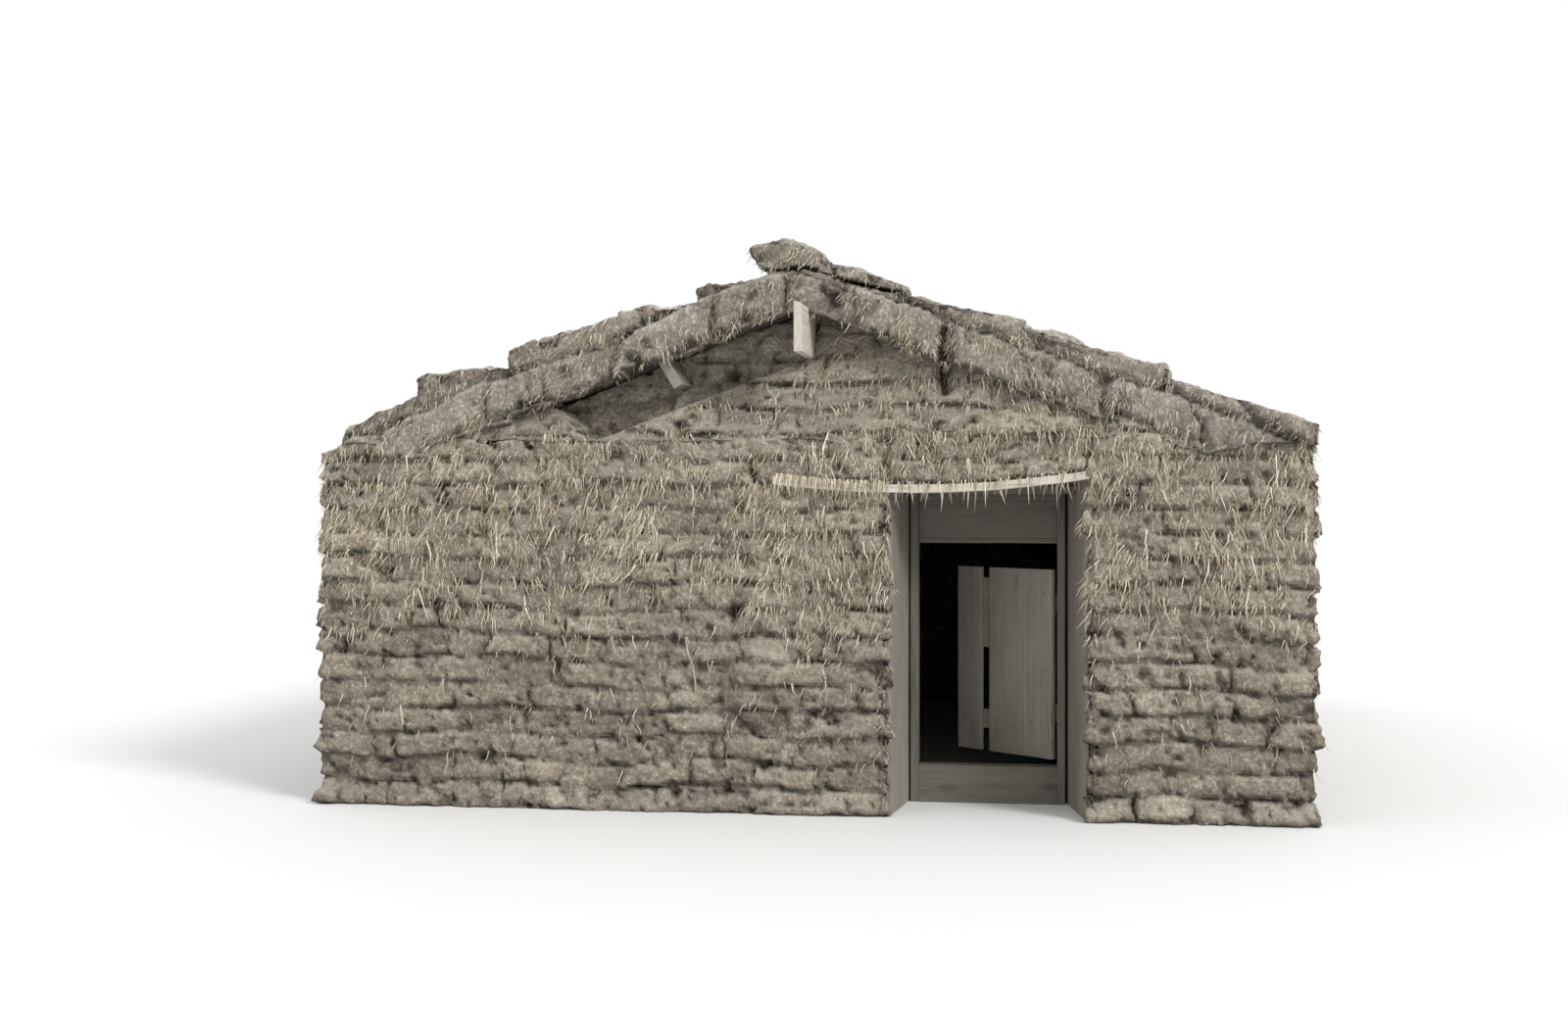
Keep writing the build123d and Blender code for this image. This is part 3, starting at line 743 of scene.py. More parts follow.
def earth_material(name, mid, pale, crumb_size, root_length, root_share, joint_share, crust):
    """Sods as seen from outside: crumbled earth, roots and dark joints, with painted shade in pits,
    hollows, the cleft and under overhangs, and dried crust with a painted highlight on upward
    faces.
    """
    wire = Finish(name)
    finishes = house().finishes
    grain = wire.group("soil grain", {"Vector": wire.place, "Crumb Size": crumb_size,
                                      "Root Length": root_length})
    soil = wire.blend(grain["Shade"], opaque(mid, 0.3), opaque(mid))
    soil = wire.blend(wire.fit(grain["Shade"], 0.45, 0.95), soil, opaque(pale))
    roots = grain["Roots"] * wire.fit(wire.noted("matted"), 0.0, 1.0, root_share * 0.4, root_share)
    soil = wire.blend(roots, soil, opaque(finishes.straw_pale))
    upward = wire.noted("upward")
    # Faces that look upward go pale: dried crust on the ledges, and a painted highlight where light
    # from above falls.
    soil = wire.blend(wire.fit(upward, 0.15, 0.85, 0.0, crust), soil, opaque(pale))
    # Per-sod tone and broad stains, times painted shade: faces that look downward, under lips and
    # overhangs, are darkened to as little as 0.55.
    tone = (wire.fit(wire.noted("tone"), 0.0, 1.0, 0.86, 1.1)
            * wire.fit(upward, -0.7, -0.2, 0.55, 1.0)
            * wire.fit(wire.noise(wire.place, 2.6, 4.0, 0.6), 0.35, 0.65, 0.78, 1.12))
    tone_and_undercut_shade = wire.node("ShaderNodeCombineColor", {0: tone, 1: tone, 2: tone})[0]
    soil = wire.blend(1.0, soil, tone_and_undercut_shade, "MULTIPLY")
    # Joints go to deep earth; the pits, hollows and cleft in the same mask are darkened as painted
    # shade.
    joint = wire.fit(wire.noted("joint"), 0.35, 1.0, 0.0, joint_share)
    return wire.finished({
        "Base Color": wire.blend(joint, soil, opaque(finishes.earth_deep)), "Roughness": 0.95,
        "Specular IOR Level": 0.2, "Normal": wire.bumped(grain["Height"], 0.02)})


def dry_grass_material(name):
    """Bleached grass, each blade its own shade."""
    wire = Finish(name)
    finishes = house().finishes
    mottled = wire.noise(wire.place, 60.0)
    shade = wire.fit(wire.noted("shade") * 0.8 + mottled * 0.4, 0.35, 1.1)
    return wire.finished({
        "Base Color": wire.blend(shade, opaque(finishes.straw_dark), opaque(finishes.straw_pale)),
        "Roughness": 0.7, "Normal": wire.bumped(mottled, 0.001)})


GRAIN_TURNS = {"up": (0.0, 0.0), "across": (0.0, pi / 2), "along": (pi / 2, 0.0)}


def wood_material(name, base, grain_way, board_turn=0.0, knots=0.75, knot_place=None):
    """Weathered wood whose grain runs up, across or along the house."""
    wire = Finish(name)
    turned = wire.node("ShaderNodeMapping", {
        "Vector": wire.place, "Rotation": (*GRAIN_TURNS[grain_way], board_turn)})[0]
    grain = wire.group("wood grain", {"Vector": turned, "Cracks": 0.7, "Knots": knots})
    dark = opaque(base, 0.16)
    wood = wire.blend(grain["Shade"], opaque(base, 0.55), opaque(base, 1.15))
    wood = wire.blend(grain["Dark"], wood, dark)
    if knot_place:
        knot = wire.distance(wire.place, knot_place, (0.02, 0.02, 0.033))
        wood = wire.blend(wire.fit(knot, 0.75, 1.25, 0.9, 0.0), wood, dark)
    return wire.finished({
        "Base Color": wood, "Roughness": wire.fit(grain["Shade"], 0.0, 1.0, 0.9, 0.72),
        "Specular IOR Level": 0.3, "Normal": wire.bumped(grain["Height"], 0.003)})


def rusted_iron_material(name):
    """Forged iron under an uneven coat of rust."""
    wire = Finish(name)
    finishes = house().finishes
    coat = wire.fit(wire.noise(wire.place, 70.0, 5.0, 0.65), 0.36, 0.58)
    pits = wire.noise(wire.place, 420.0, 3.0, 0.6)
    rust = wire.blend(pits, opaque(finishes.rust, 0.5), opaque(finishes.rust))
    return wire.finished({
        "Base Color": wire.blend(coat, opaque(finishes.iron), rust),
        "Metallic": wire.fit(coat, 0.0, 1.0, 0.8, 0.05),
        "Roughness": wire.fit(coat, 0.0, 1.0, 0.5, 0.92),
        "Normal": wire.bumped(pits + coat, 0.0012)})


def floor_material(name):
    wire = Finish(name)
    base = house().finishes.floor
    faint = wire.noise(wire.place, 0.6, 3.0)
    return wire.finished({
        "Base Color": wire.blend(faint, opaque(base, 0.97), opaque(base)), "Roughness": 0.9})


# The crust share sets how far upward faces go pale, as dried crust and a painted highlight; the
# joint share sets how dark the joints go, with painted shade in pits, hollows and the cleft.
WALL_SOIL = {"crumb_size": 0.02, "root_length": 0.045, "root_share": 0.75, "joint_share": 0.88,
             "crust": 0.5}
ROOF_SOIL = {"crumb_size": 0.018, "root_length": 0.03, "root_share": 0.45, "joint_share": 0.8,
             "crust": 0.4}
# The sods in the gap take their own paler earth, as painted light against the recess's shade.
SOILS = {"wall sod": ("earth", WALL_SOIL), "gap sod": ("gap", WALL_SOIL),
         "roof sod": ("roof", ROOF_SOIL)}


def finish(name):
    """A material by name, built the first time it is wanted."""
    found = bpy.data.materials.get(name)
    if found:
        return found
    finishes = house().finishes
    if name in SOILS:
        kind, soil = SOILS[name]
        mid, pale = getattr(finishes, kind + "_mid"), getattr(finishes, kind + "_pale")
        return earth_material(name, mid, pale, **soil)
    makers = {"dry grass": dry_grass_material, "rusted iron": rusted_iron_material,
              "studio floor": floor_material}
    if name in makers:
        return makers[name](name)
    kind, way = name.rsplit(" ", 1)
    base = getattr(finishes, kind.replace(" ", "_"))
    if kind == "door board":
        return wood_material(name, base, way, door_turn(), knot_place=leaf_knot())
    return wood_material(name, base, way, knots=0.3)


def door_turn():
    """How far the door stands ajar, from where its joint shuts it."""
    return radians(-frame["joints"][0]["range_deg"][0])


def leaf_knot():
    """The dark knot beside the hinges, in the leaf's main board."""
    x, y, _ = frame["joints"][0]["pos_m"]
    reach = house().timber.knot_reach
    return x - reach * cos(door_turn()), y + reach * sin(door_turn()), house().timber.knot_height


# Ways of working on a mesh
WELD = 0.00002  # points nearer than this are one
SKIN = 0.002  # the outermost points lie within this
SAME_WAY = 0.9  # least cosine between the ways that two faces look
PARALLEL = 0.95  # least cosine between an edge and its axis


def deselect():
    if bpy.context.mode != "OBJECT":
        bpy.ops.object.mode_set(mode="OBJECT")
    bpy.ops.object.select_all(action="DESELECT")


def take(piece):
    """Make one piece the only one selected."""
    deselect()
    piece.select_set(True)
    bpy.context.view_layer.objects.active = piece


@contextmanager
def editing(piece):
    """Work on a piece in edit mode, with all of it selected."""
    take(piece)
    bpy.ops.object.mode_set(mode="EDIT")
    bpy.ops.mesh.select_all(action="SELECT")
    yield
    bpy.ops.object.mode_set(mode="OBJECT")


def pick(piece, kind, test):
    """In edit mode, select the verts, edges or faces that pass a test, and nothing else."""
    modes = {"verts": "VERT", "edges": "EDGE", "faces": "FACE"}
    bpy.ops.mesh.select_mode(type=modes[kind])
    bpy.ops.mesh.select_all(action="DESELECT")
    mesh = bmesh.from_edit_mesh(piece.data)
    for part in getattr(mesh, kind):
        if test(part):
            part.select_set(True)
    bmesh.update_edit_mesh(piece.data)


def resize(value, centre=(0, 0, 0)):
    bpy.ops.transform.resize(value=value, center_override=centre)


def move(value):
    bpy.ops.transform.translate(value=value)


def runs_along(axis):
    def test(edge):
        run = edge.verts[1].co - edge.verts[0].co
        return abs(run.normalized().dot(axis)) > PARALLEL
    return test


def is_sharp(edge):
    return len(edge.link_faces) == 2 and edge.calc_face_angle(0) > radians(30)


def applied(name):
    """Put a new primitive's place into its mesh, and name it."""
    bpy.ops.object.transform_apply(location=True, rotation=True, scale=True)
    piece = bpy.context.active_object
    piece.name = name
    return piece


def block(name, low, high):
    """A squared block between two corners."""
    deselect()
    bpy.ops.mesh.primitive_cube_add(size=1, location=(low + high) / 2, scale=high - low)
    return applied(name)


def copy_of(node, name):
    """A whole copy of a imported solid, to be dressed in its place."""
    piece = twin(frame["nodes"][node])
    piece.name = name
    piece.data.materials.clear()
    del piece["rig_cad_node"]
    with editing(piece):
        bpy.ops.mesh.remove_doubles(threshold=WELD)
    return piece


def twin(piece):
    """A second piece like the first, with its own mesh."""
    take(piece)
    bpy.ops.object.duplicate()
    return bpy.context.active_object


def joined(pieces, name):
    take(pieces[0])
    for piece in pieces[1:]:
        piece.select_set(True)
    if len(pieces) > 1:
        bpy.ops.object.join()
    piece = bpy.context.active_object
    piece.name = name
    return piece


def worked(piece, kind, **settings):
    """Put a modifier on a piece and apply it."""
    take(piece)
    modifier = piece.modifiers.new(kind, kind)
    for name, value in settings.items():
        setattr(modifier, name, value)
    bpy.ops.object.modifier_apply(modifier=modifier.name)


def worked_by_nodes(piece, group, **settings):
    """Put a node group on a piece as a modifier, set it by its inputs' names, and apply it."""
    take(piece)
    modifier = piece.modifiers.new(group, "NODES")
    modifier.node_group = tree_for(group)
    names = {item.name.lower().replace(" ", "_"): item.identifier
             for item in modifier.node_group.interface.items_tree if item.in_out == "INPUT"}
    for name, value in settings.items():
        modifier[names[name]] = value
    bpy.ops.object.modifier_apply(modifier=modifier.name)


def extent(piece):
    corners = [vertex.co for vertex in piece.data.vertices]
    low = Vector([min(corner[i] for corner in corners) for i in range(3)])
    high = Vector([max(corner[i] for corner in corners) for i in range(3)])
    return low, high


def divided(piece, cell, *axes):
    """Divide a block's edges along some axes into lengths of about one cell."""
    for axis in axes:
        low, high = extent(piece)
        cuts = round(abs((high - low).dot(axis)) / cell) - 1
        if cuts > 0:
            with editing(piece):
                pick(piece, "edges", runs_along(axis))
                bpy.ops.mesh.subdivide(number_cuts=cuts)
    return piece


def smooth(piece, angle=radians(180)):
    take(piece)
    bpy.ops.object.shade_smooth_by_angle(angle=angle)


def place_in_house(piece, material, body, slot, *nodes):
    """Give a finished piece its material, its body, its slot and the nodes it stands for."""
    piece.data.materials.clear()
    piece.data.materials.append(finish(material))
    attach(piece, body)
    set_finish(piece, slot)
    if nodes:
        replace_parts(piece, *nodes)


# Walls and gables
MODULE = 0.6  # side of the cubes that a wall is first divided into
RELIEF = ("sod_length", "joint_reach", "joint_depth", "stagger", "lip", "bed_joints", "lumps",
          "crumbs", "pits", "hollows")
WALL_RELIEF = (*RELIEF, "course_height", "foot", "crumbled_below", "worn_edge", "slump_place",
               "slump_height")


def gridded(piece, ways_and_cells):
    """Divide a block into modules, then the sides that look some ways into cells of one size."""
    divided(piece, MODULE, ACROSS, ALONG, UP)
    with editing(piece):
        for ways, cell in ways_and_cells:
            pick(piece, "faces", lambda face: any(face.normal.dot(way) > SAME_WAY for way in ways))
            bpy.ops.mesh.subdivide(number_cuts=round(MODULE / cell) - 1)


def held_still(piece, test):
    """Mark faces that the relief leaves where they are."""
    with editing(piece):
        pick(piece, "faces", test)
        bpy.ops.object.vertex_group_assign_new()
    piece.vertex_groups[-1].name = "still"


def wall_relief(piece, node, material="wall sod", **settings):
    """Turn a block into the laid sods of one wall or gable."""
    values = settings_of(house().wall_sods, *WALL_RELIEF)
    worked_by_nodes(piece, "sod relief", **{**values, **settings})
    smooth(piece)
    place_in_house(piece, material, "house", "wall_sod", node)


def cover_settings():
    """The sods that bury the lintel's right end, laid in place of the slumped ones."""
    sods = house().wall_sods
    return {"slump_place": sods.cover_place, "slump_height": sods.cover_height}


def turf_name(node):
    """What the sods that stand for a node are called."""
    return node.replace("_sods", "") + "_turf"


def front_wall(side):
    """One side of the doorway wall, its end splayed behind the board that lines the doorway."""
    sods = house().wall_sods
    node = "front_wall_" + SIDES[side]
    low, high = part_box(node)
    high = high + UP * sods.overlap
    piece = block(turf_name(node), low, high)
    plank_low, plank_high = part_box("reveal_plank_" + SIDES[side])
    back_edge, plank_back = (low.x, plank_high.x) if side > 0 else (high.x, plank_low.x)
    splay = (plank_back - back_edge) / (plank_high.y - plank_low.y)
    setback = plank_low.y - low.y
    front_edge = plank_back + splay * setback
    with editing(piece):
        pick(piece, "verts", lambda vertex: abs(vertex.co.x - back_edge) < SKIN
             and abs(vertex.co.y - low.y) < SKIN)
        move((front_edge - back_edge, 0, 0))
    gridded(piece, [((-ALONG, side * ACROSS, UP), sods.cell_front),
                    ((ALONG,), sods.cell_inside)])
    held_still(piece, lambda face: face.normal.x * side < -SAME_WAY)
    ends = sorted((front_edge - side * house().timber.lining_thickness,
                   front_edge + side * sods.cell_front))
    lip = block("lip", Vector((ends[0], low.y, low.z)), Vector((ends[1], low.y + setback, high.z)))
    divided(lip, sods.cell_front, ACROSS, ALONG, UP)
    piece = joined([piece, lip], turf_name(node))
    wall_relief(piece, node, top_share=0.5, **(cover_settings() if side > 0 else {}))


def plain_wall(node, outwards):
    """A straight wall, its outer side finer than the side that faces the room."""
    sods = house().wall_sods
    low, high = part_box(node)
    piece = block(turf_name(node), low, high + UP * sods.overlap)
    corners = (ACROSS, -ACROSS) if node == "back_wall" else ()
    gridded(piece, [((outwards, *corners), sods.cell_side), ((-outwards, UP), sods.cell_inside)])
    wall_relief(piece, node, top_share=0.5)


def reaching(piece, overlap, *directions):
    """Let the outermost points of a piece reach a little further, into the sods beside it."""
    for direction in directions:
        outermost = max(vertex.co.dot(direction) for vertex in piece.data.vertices)
        with editing(piece):
            pick(piece, "verts", lambda vertex: vertex.co.dot(direction) > outermost - SKIN)
            move(direction * overlap)


def sods_from_solid(node, cell, *directions, rakes=(), overlap=None, **settings):
    """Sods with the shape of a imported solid, in even cells."""
    sods = house().wall_sods
    piece = copy_of(node, turf_name(node))
    for side in rakes:
        square_to_slope = Vector((side * sin(roof_pitch), 0, cos(roof_pitch)))
        reaching(piece, sods.rake_overlap, square_to_slope)
    reaching(piece, overlap or sods.overlap, *directions)
    worked(piece, "REMESH", mode="VOXEL", voxel_size=cell)
    wall_relief(piece, node, **settings)


# Roof sods
ROOF_NODES = ["roof_sods_left_1", "roof_sods_left_2", "roof_sods_left_3", "roof_sods_left_4",
              "roof_sods_right_1", "roof_sods_right_2", "roof_sods_right_3", "ridge_sods",
              "ridge_cap_sods", "ridge_shoulder_sods"]
ROOF_RELIEF = (*RELIEF, "least_open", "draw_in", "droop")
END_LENGTHS = (0.8, 1.15)  # least and most of an end sod, as shares of the usual length
PARTING = 0.003  # half the gap between two lengths of a course
ROUNDING = 0.03  # how far the corners of each length are worn round


def cut_to(piece, y_low, y_high):
    """Keep only the length of a piece between two places along the house."""
    for place, outwards in ((y_low, -ALONG), (y_high, ALONG)):
        with editing(piece):
            bpy.ops.mesh.bisect(plane_co=(0, place, 0), plane_no=outwards, use_fill=True,
                                clear_outer=True)
    return piece


def roof_course(node, chance):
    """One course of roof sods, laid from one gable end to the other."""
    sods = house().roof_sods
    whole = copy_of(node, node)
    reaching(whole, sods.overlap, ACROSS, -ACROSS)
    low, high = extent(whole)
    places = sorted({round(vertex.co.y, 3) for vertex in whole.data.vertices})
    if len(places) > 2:
        front_joint = (places[1] + places[2]) / 2
        back_joint = (places[-3] + places[-2]) / 2
    else:
        front_joint = low.y + sods.sod_length * chance.uniform(*END_LENGTHS)
        back_joint = high.y - sods.sod_length * chance.uniform(*END_LENGTHS)
    lengths = []
    for y_low, y_high, cell in ((low.y - 1, front_joint - PARTING, sods.cell_rake),
                                (front_joint + PARTING, back_joint - PARTING, sods.cell_run),
                                (back_joint + PARTING, high.y + 1, sods.cell_run)):
        part = cut_to(twin(whole), y_low, y_high)
        worked(part, "REMESH", mode="VOXEL", voxel_size=cell)
        worked(part, "SMOOTH", factor=0.5, iterations=round(ROUNDING / cell * 4))
        lengths.append(part)
    bpy.data.objects.remove(whole)
    piece = joined(lengths, turf_name(node))
    # A top course wider than the roof keeps each row of sods whole
    worked_by_nodes(
        piece, "sod relief", course_height=sods.layer_height, top_course=10.0,
        row_shift=chance.uniform(0, 9), roof_slope=roof_slope, layer_start=ridge_top,
        top_share=1.0, inside_share=0.3, side_pattern=0.35,
        **settings_of(sods, *ROOF_RELIEF),
        **settings_of(house().wall_sods, "cleft_place", "cleft_depth"))
    smooth(piece)
    place_in_house(piece, "roof sod", "house", "roof_sod", node)


# Grass
def cone(name):
    """A cone of three sides that hangs one metre down from the origin."""
    deselect()
    bpy.ops.mesh.primitive_cone_add(vertices=3, radius1=0.5, radius2=0, depth=1,
                                    location=(0, 0, -0.5), rotation=(pi, 0, 0))
    return applied(name)


def spike(name, bend):
    """One straight blade of the fewest faces, hanging from the origin."""
    length, width, _ = blade_size()
    piece = cone(name)
    with editing(piece):
        resize((width * 1.2, width * 0.6, length))
        pick(piece, "verts", lambda vertex: vertex.co.z < -0.5 * length)
        move((0, -bend * length, 0))
    return piece


def blade(name, bend, kink):
    """One blade, hanging from the origin, bent once."""
    length, width, middle = blade_size()
    piece = cone(name)
    with editing(piece):
        pick(piece, "edges", lambda edge: abs(edge.verts[0].co.z - edge.verts[1].co.z) > 0.5)
        bpy.ops.mesh.subdivide(number_cuts=1)
        bpy.ops.mesh.select_all(action="SELECT")
        resize((width, width * 0.5, length))
        pick(piece, "verts", lambda vertex: -0.9 < vertex.co.z / length < -0.1)
        resize((1.7, 1.7, 1.0), middle)
        move((kink * length, -bend * 0.35 * length, 0))
        pick(piece, "verts", lambda vertex: vertex.co.z / length < -0.9)
        move((-kink * length, -bend * length, 0))
    return piece


def blade_size():
    grass = house().grass
    return grass.blade_length, grass.blade_width, (0, 0, -grass.blade_length / 2)


def blades():
    """The collection of blades that the grass is made from, kept out of the scene."""
    found = bpy.data.collections.get("blades")
    if found:
        return found
    made = bpy.data.collections.new("blades")
    pieces = [spike(f"spike_{number}", bend) for number, bend in enumerate((0.0, 0.1, 0.2, 0.3))]
    pieces += [blade("blade_0", 0.2, 0.08), blade("blade_1", 0.4, -0.08)]
    for piece in pieces:
        for holder in piece.users_collection:
            holder.objects.unlink(piece)
        made.objects.link(piece)
    return made


def grass_on(nodes, name, density, seed, **settings):
    """Hang grass on the finished sods of some nodes, as one piece."""
    carrier = joined([twin(bpy.data.objects[turf_name(node)]) for node in nodes], name)
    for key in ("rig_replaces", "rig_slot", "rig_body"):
        if key in carrier:
            del carrier[key]
    hang_grass(carrier, name, density, seed, **settings)


def hang_grass(carrier, name, density, seed, **settings):
    """Put blades in the place of a carrier."""
    grass = house().grass
    worked_by_nodes(carrier, "hanging grass", blades=blades(), density=density, seed=seed,
                    thatch_from=grass.thatch_from, thatch_full=grass.thatch_full, **settings)
    if not carrier.data.polygons:
        raise RuntimeError(f"{name} has no blades")
    place_in_house(carrier, "dry grass", "house", "wall_sod")


def laid_on_slope(piece, side, stretch, place):
    """Tilt a level piece about the ridge to one side's slope, and move it to its place."""
    with editing(piece):
        bpy.ops.transform.rotate(value=-roof_pitch, orient_axis="Y", center_override=(0, 0, 0))
        resize((side, stretch, 1))
        move(place)
        bpy.ops.mesh.normals_make_consistent(inside=False)
    return piece


def rake_fringe(end, name, seed):
    """Roots that hang from the lowest roof sods of one gable end, in front of the roof boards."""
    depth = 0.03
    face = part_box("ridge_sods")[0 if end < 0 else 1].y
    near, far = sorted((face, face - end * depth))
    low = Vector((0, near, -depth / 2))
    high = Vector((boards_end / cos(roof_pitch), far, depth / 2))
    strips = [laid_on_slope(block("fringe", low, high), side, 1, (0, 0, ridge_top))
              for side in SIDES]
    hang_grass(joined(strips, name), name, house().grass.fringe_density, seed, lift=0.3,
               lean=0.25, joint_share=0.0)


def lintel_fringe():
    """Roots of the sods over the doorway, which hang in front of the lintel."""
    timber = house().timber
    low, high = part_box("door_lintel")
    top = low.z + timber.lintel_thickness
    reveal_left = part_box("reveal_plank_left")[0].x
    reveal_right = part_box("reveal_plank_right")[1].x
    for name, left, right, share, length in (
            ("lintel_roots", low.x, high.x, 0.6, 1.7),
            ("lintel_left_roots", low.x, reveal_left, 4.0, 1.1),
            ("lintel_right_roots", reveal_right, high.x, 5.0, 1.2)):
        strip = block(name, Vector((left, low.y - 0.004, top)),
                      Vector((right, low.y + 0.01, top + 0.02)))
        divided(strip, timber.cell, ACROSS)
        worked_by_nodes(strip, "timber wear", wear=0.0, **lintel_bend())
        hang_grass(strip, name, house().grass.fringe_density * share, 31, length=length,
                   lift=0.12, lean=0.16, joint_share=0.0, patchy=0.4)


# Timber
def worn(piece, **settings):
    """Round a board's edges and let it stray a little."""
    timber = house().timber
    with editing(piece):
        pick(piece, "edges", is_sharp)
        bpy.ops.mesh.bevel(offset=timber.edge_round, segments=2, profile=0.6)
    worked_by_nodes(piece, "timber wear", wear=timber.wear, **settings)
    smooth(piece, radians(60))
    worked(piece, "WEIGHTED_NORMAL", keep_sharp=True)


def boards_of(nodes, material, body, slot, run, cell=None):
    """Packed boards with worn edges that stray a little."""
    for node in nodes:
        piece = copy_of(node, node + "_wood")
        with editing(piece):
            bpy.ops.mesh.dissolve_limited(angle_limit=radians(0.5))
        divided(piece, cell or house().timber.cell, run)
        worn(piece)
        place_in_house(piece, material, body, slot, node)


def lintel_bend():
    """Where the lintel is lowest, and how steeply it bends up from there."""
    timber = house().timber
    low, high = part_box("door_lintel")
    rise = (high.z - low.z - timber.lintel_thickness) / (high.x - timber.lintel_lowest) ** 2
    return {"lowest_place": timber.lintel_lowest, "rise": rise}


def sagging_lintel():
    """The long plank over the doorway, which sags under the sods."""
    timber = house().timber
    low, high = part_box("door_lintel")
    piece = block("door_lintel_wood", low,
                  Vector((high.x, high.y, low.z + timber.lintel_thickness)))
    divided(piece, timber.cell, ACROSS)
    worn(piece, **lintel_bend())
    place_in_house(piece, "pale board across", "house", "pale_board", "door_lintel")


def roof_boards(side, chance):
    """Boards from the ridge down to the wall, side by side along the house."""
    timber = house().timber
    node = "roof_boards_" + SIDES[side]
    low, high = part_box(node)
    thickness = (high.z - low.z - (ridge_top - wall_top)) * cos(roof_pitch)
    width = timber.roof_board_width
    first = block("roof_board", Vector((0, -width / 2, -thickness)),
                  Vector((boards_end / cos(roof_pitch), width / 2, 0)))
    divided(first, timber.cell * 4, ACROSS)
    with editing(first):
        pick(first, "edges", is_sharp)
        bpy.ops.mesh.bevel(offset=timber.edge_round, segments=1)
    count = int((high.y - low.y) / (width + timber.roof_board_gap))
    spacing = (high.y - low.y) / count
    boards = []
    for number in range(count):
        stretch = chance.uniform(0.94, 1.0)
        place = (0, low.y + (number + 0.5) * spacing, ridge_top - chance.uniform(0, 0.002))
        boards.append(laid_on_slope(twin(first), side, stretch, place))
    bpy.data.objects.remove(first)
    piece = joined(boards, node + "_wood")
    worked_by_nodes(piece, "timber wear", wear=timber.wear)
    smooth(piece, radians(40))
    # The boards take a near-black colour: painted shade, so that their ends read as in shadow under
    # the sods, besides the roof earth's stain.
    place_in_house(piece, "roof board across", "house", "grey_board", node)


def nail_heads(name, places, facing, body):
    """Flat round heads of cut nails, sunk a little into the wood."""
    radius = house().timber.nail_radius
    thickness, rim_width, rim_rise = 0.003, 0.0014, 0.0006
    heads = []
    for place in places:
        deselect()
        bpy.ops.mesh.primitive_cylinder_add(
            vertices=8, radius=radius, depth=thickness, location=place,
            rotation=facing.to_track_quat("Z", "Y").to_euler())
        head = applied("nail")
        with editing(head):
            pick(head, "faces", lambda face: face.normal.dot(facing) > SAME_WAY)
            bpy.ops.mesh.inset(thickness=rim_width, depth=rim_rise)
        heads.append(head)
    piece = joined(heads, name)
    smooth(piece, radians(40))
    place_in_house(piece, "rusted iron", body, "iron")


LEAF_BOARDS = ("door_board_hinge_side", "door_board_middle", "door_board_free_side")
LEDGES = ("door_ledge_top", "door_ledge_bottom")
LEDGE_NAILS = ((0.26, 0.3), (0.7, 0.68))  # shares of a board's width and of a ledge's height


def leaf_nail_places(outwards):
    """Two nails through each board of the leaf into each ledge."""
    run = Vector((-cos(door_turn()), sin(door_turn()), 0))
    places = []
    for board in LEAF_BOARDS:
        corners = [vertex.co for vertex in frame["nodes"][board].data.vertices]
        face = max(corner.dot(outwards) for corner in corners)
        start = min(corner.dot(run) for corner in corners)
        end = max(corner.dot(run) for corner in corners)
        for ledge in LEDGES:
            low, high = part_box(ledge)
            for share, height in LEDGE_NAILS:
                places.append(run * (start + (end - start) * share) + outwards * face
                              + UP * (low.z + (high.z - low.z) * height))
    return places


def frame_nail_places():
    """Nails at both ends of the boards across the doorway."""
    inset = 0.025
    places = []
    for board in ("transom_board", "door_sill"):
        low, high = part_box(board)
        for x in (low.x + inset, high.x - inset):
            for share in (0.25, 0.75):
                places.append(Vector((x, low.y, low.z + (high.z - low.z) * share)))
    return places


# Operators
class BuildWalls(bpy.types.Operator):
    """Lay the sods of the four walls"""

    bl_idname = "turf_house.build_walls"
    bl_label = "Sod Walls"

    def execute(self, context):
        sods = context.scene.turf_house.wall_sods
        front_wall(-1)
        front_wall(1)
        sods_from_solid("front_wall_over_door", sods.cell_front, ACROSS, -ACROSS, UP,
                        overlap=sods.door_overlap, draw_in=-0.01, **cover_settings())
        plain_wall("left_wall", -ACROSS)
        plain_wall("right_wall", ACROSS)
        plain_wall("back_wall", ALONG)
        return {"FINISHED"}


class BuildGables(bpy.types.Operator):
    """Lay the sods of both gables, with the gap left open in the front one"""

    bl_idname = "turf_house.build_gables"
    bl_label = "Sod Gables"

    def execute(self, context):
        sods = context.scene.turf_house.wall_sods
        clefts = settings_of(sods, "cleft_place", "cleft_depth")
        sods_from_solid("front_gable_left", sods.cell_front, -UP, ACROSS, rakes=(-1,),
                        swell=sods.swell / 2, **clefts)
        sods_from_solid("front_gable_right", sods.cell_front, -UP, rakes=(1,), swell=sods.swell,
                        **cover_settings(), **clefts)
        # The fill behind the open gap takes the paler earth: painted light against the shade of the
        # roof's overhang.
        sods_from_solid("front_gable_fill", sods.cell_side, -UP, ACROSS, material="gap sod")
        sods_from_solid("back_gable", sods.cell_side, -UP, rakes=(-1, 1), swell=sods.swell / 2,
                        **clefts)
        return {"FINISHED"}


class BuildRoofSods(bpy.types.Operator):
    """Lay the courses of roof sods and the rows along the ridge"""

    bl_idname = "turf_house.build_roof_sods"
    bl_label = "Roof Sods"

    def execute(self, context):
        chance = Random(11)
        for node in ROOF_NODES:
            roof_course(node, chance)
        return {"FINISHED"}


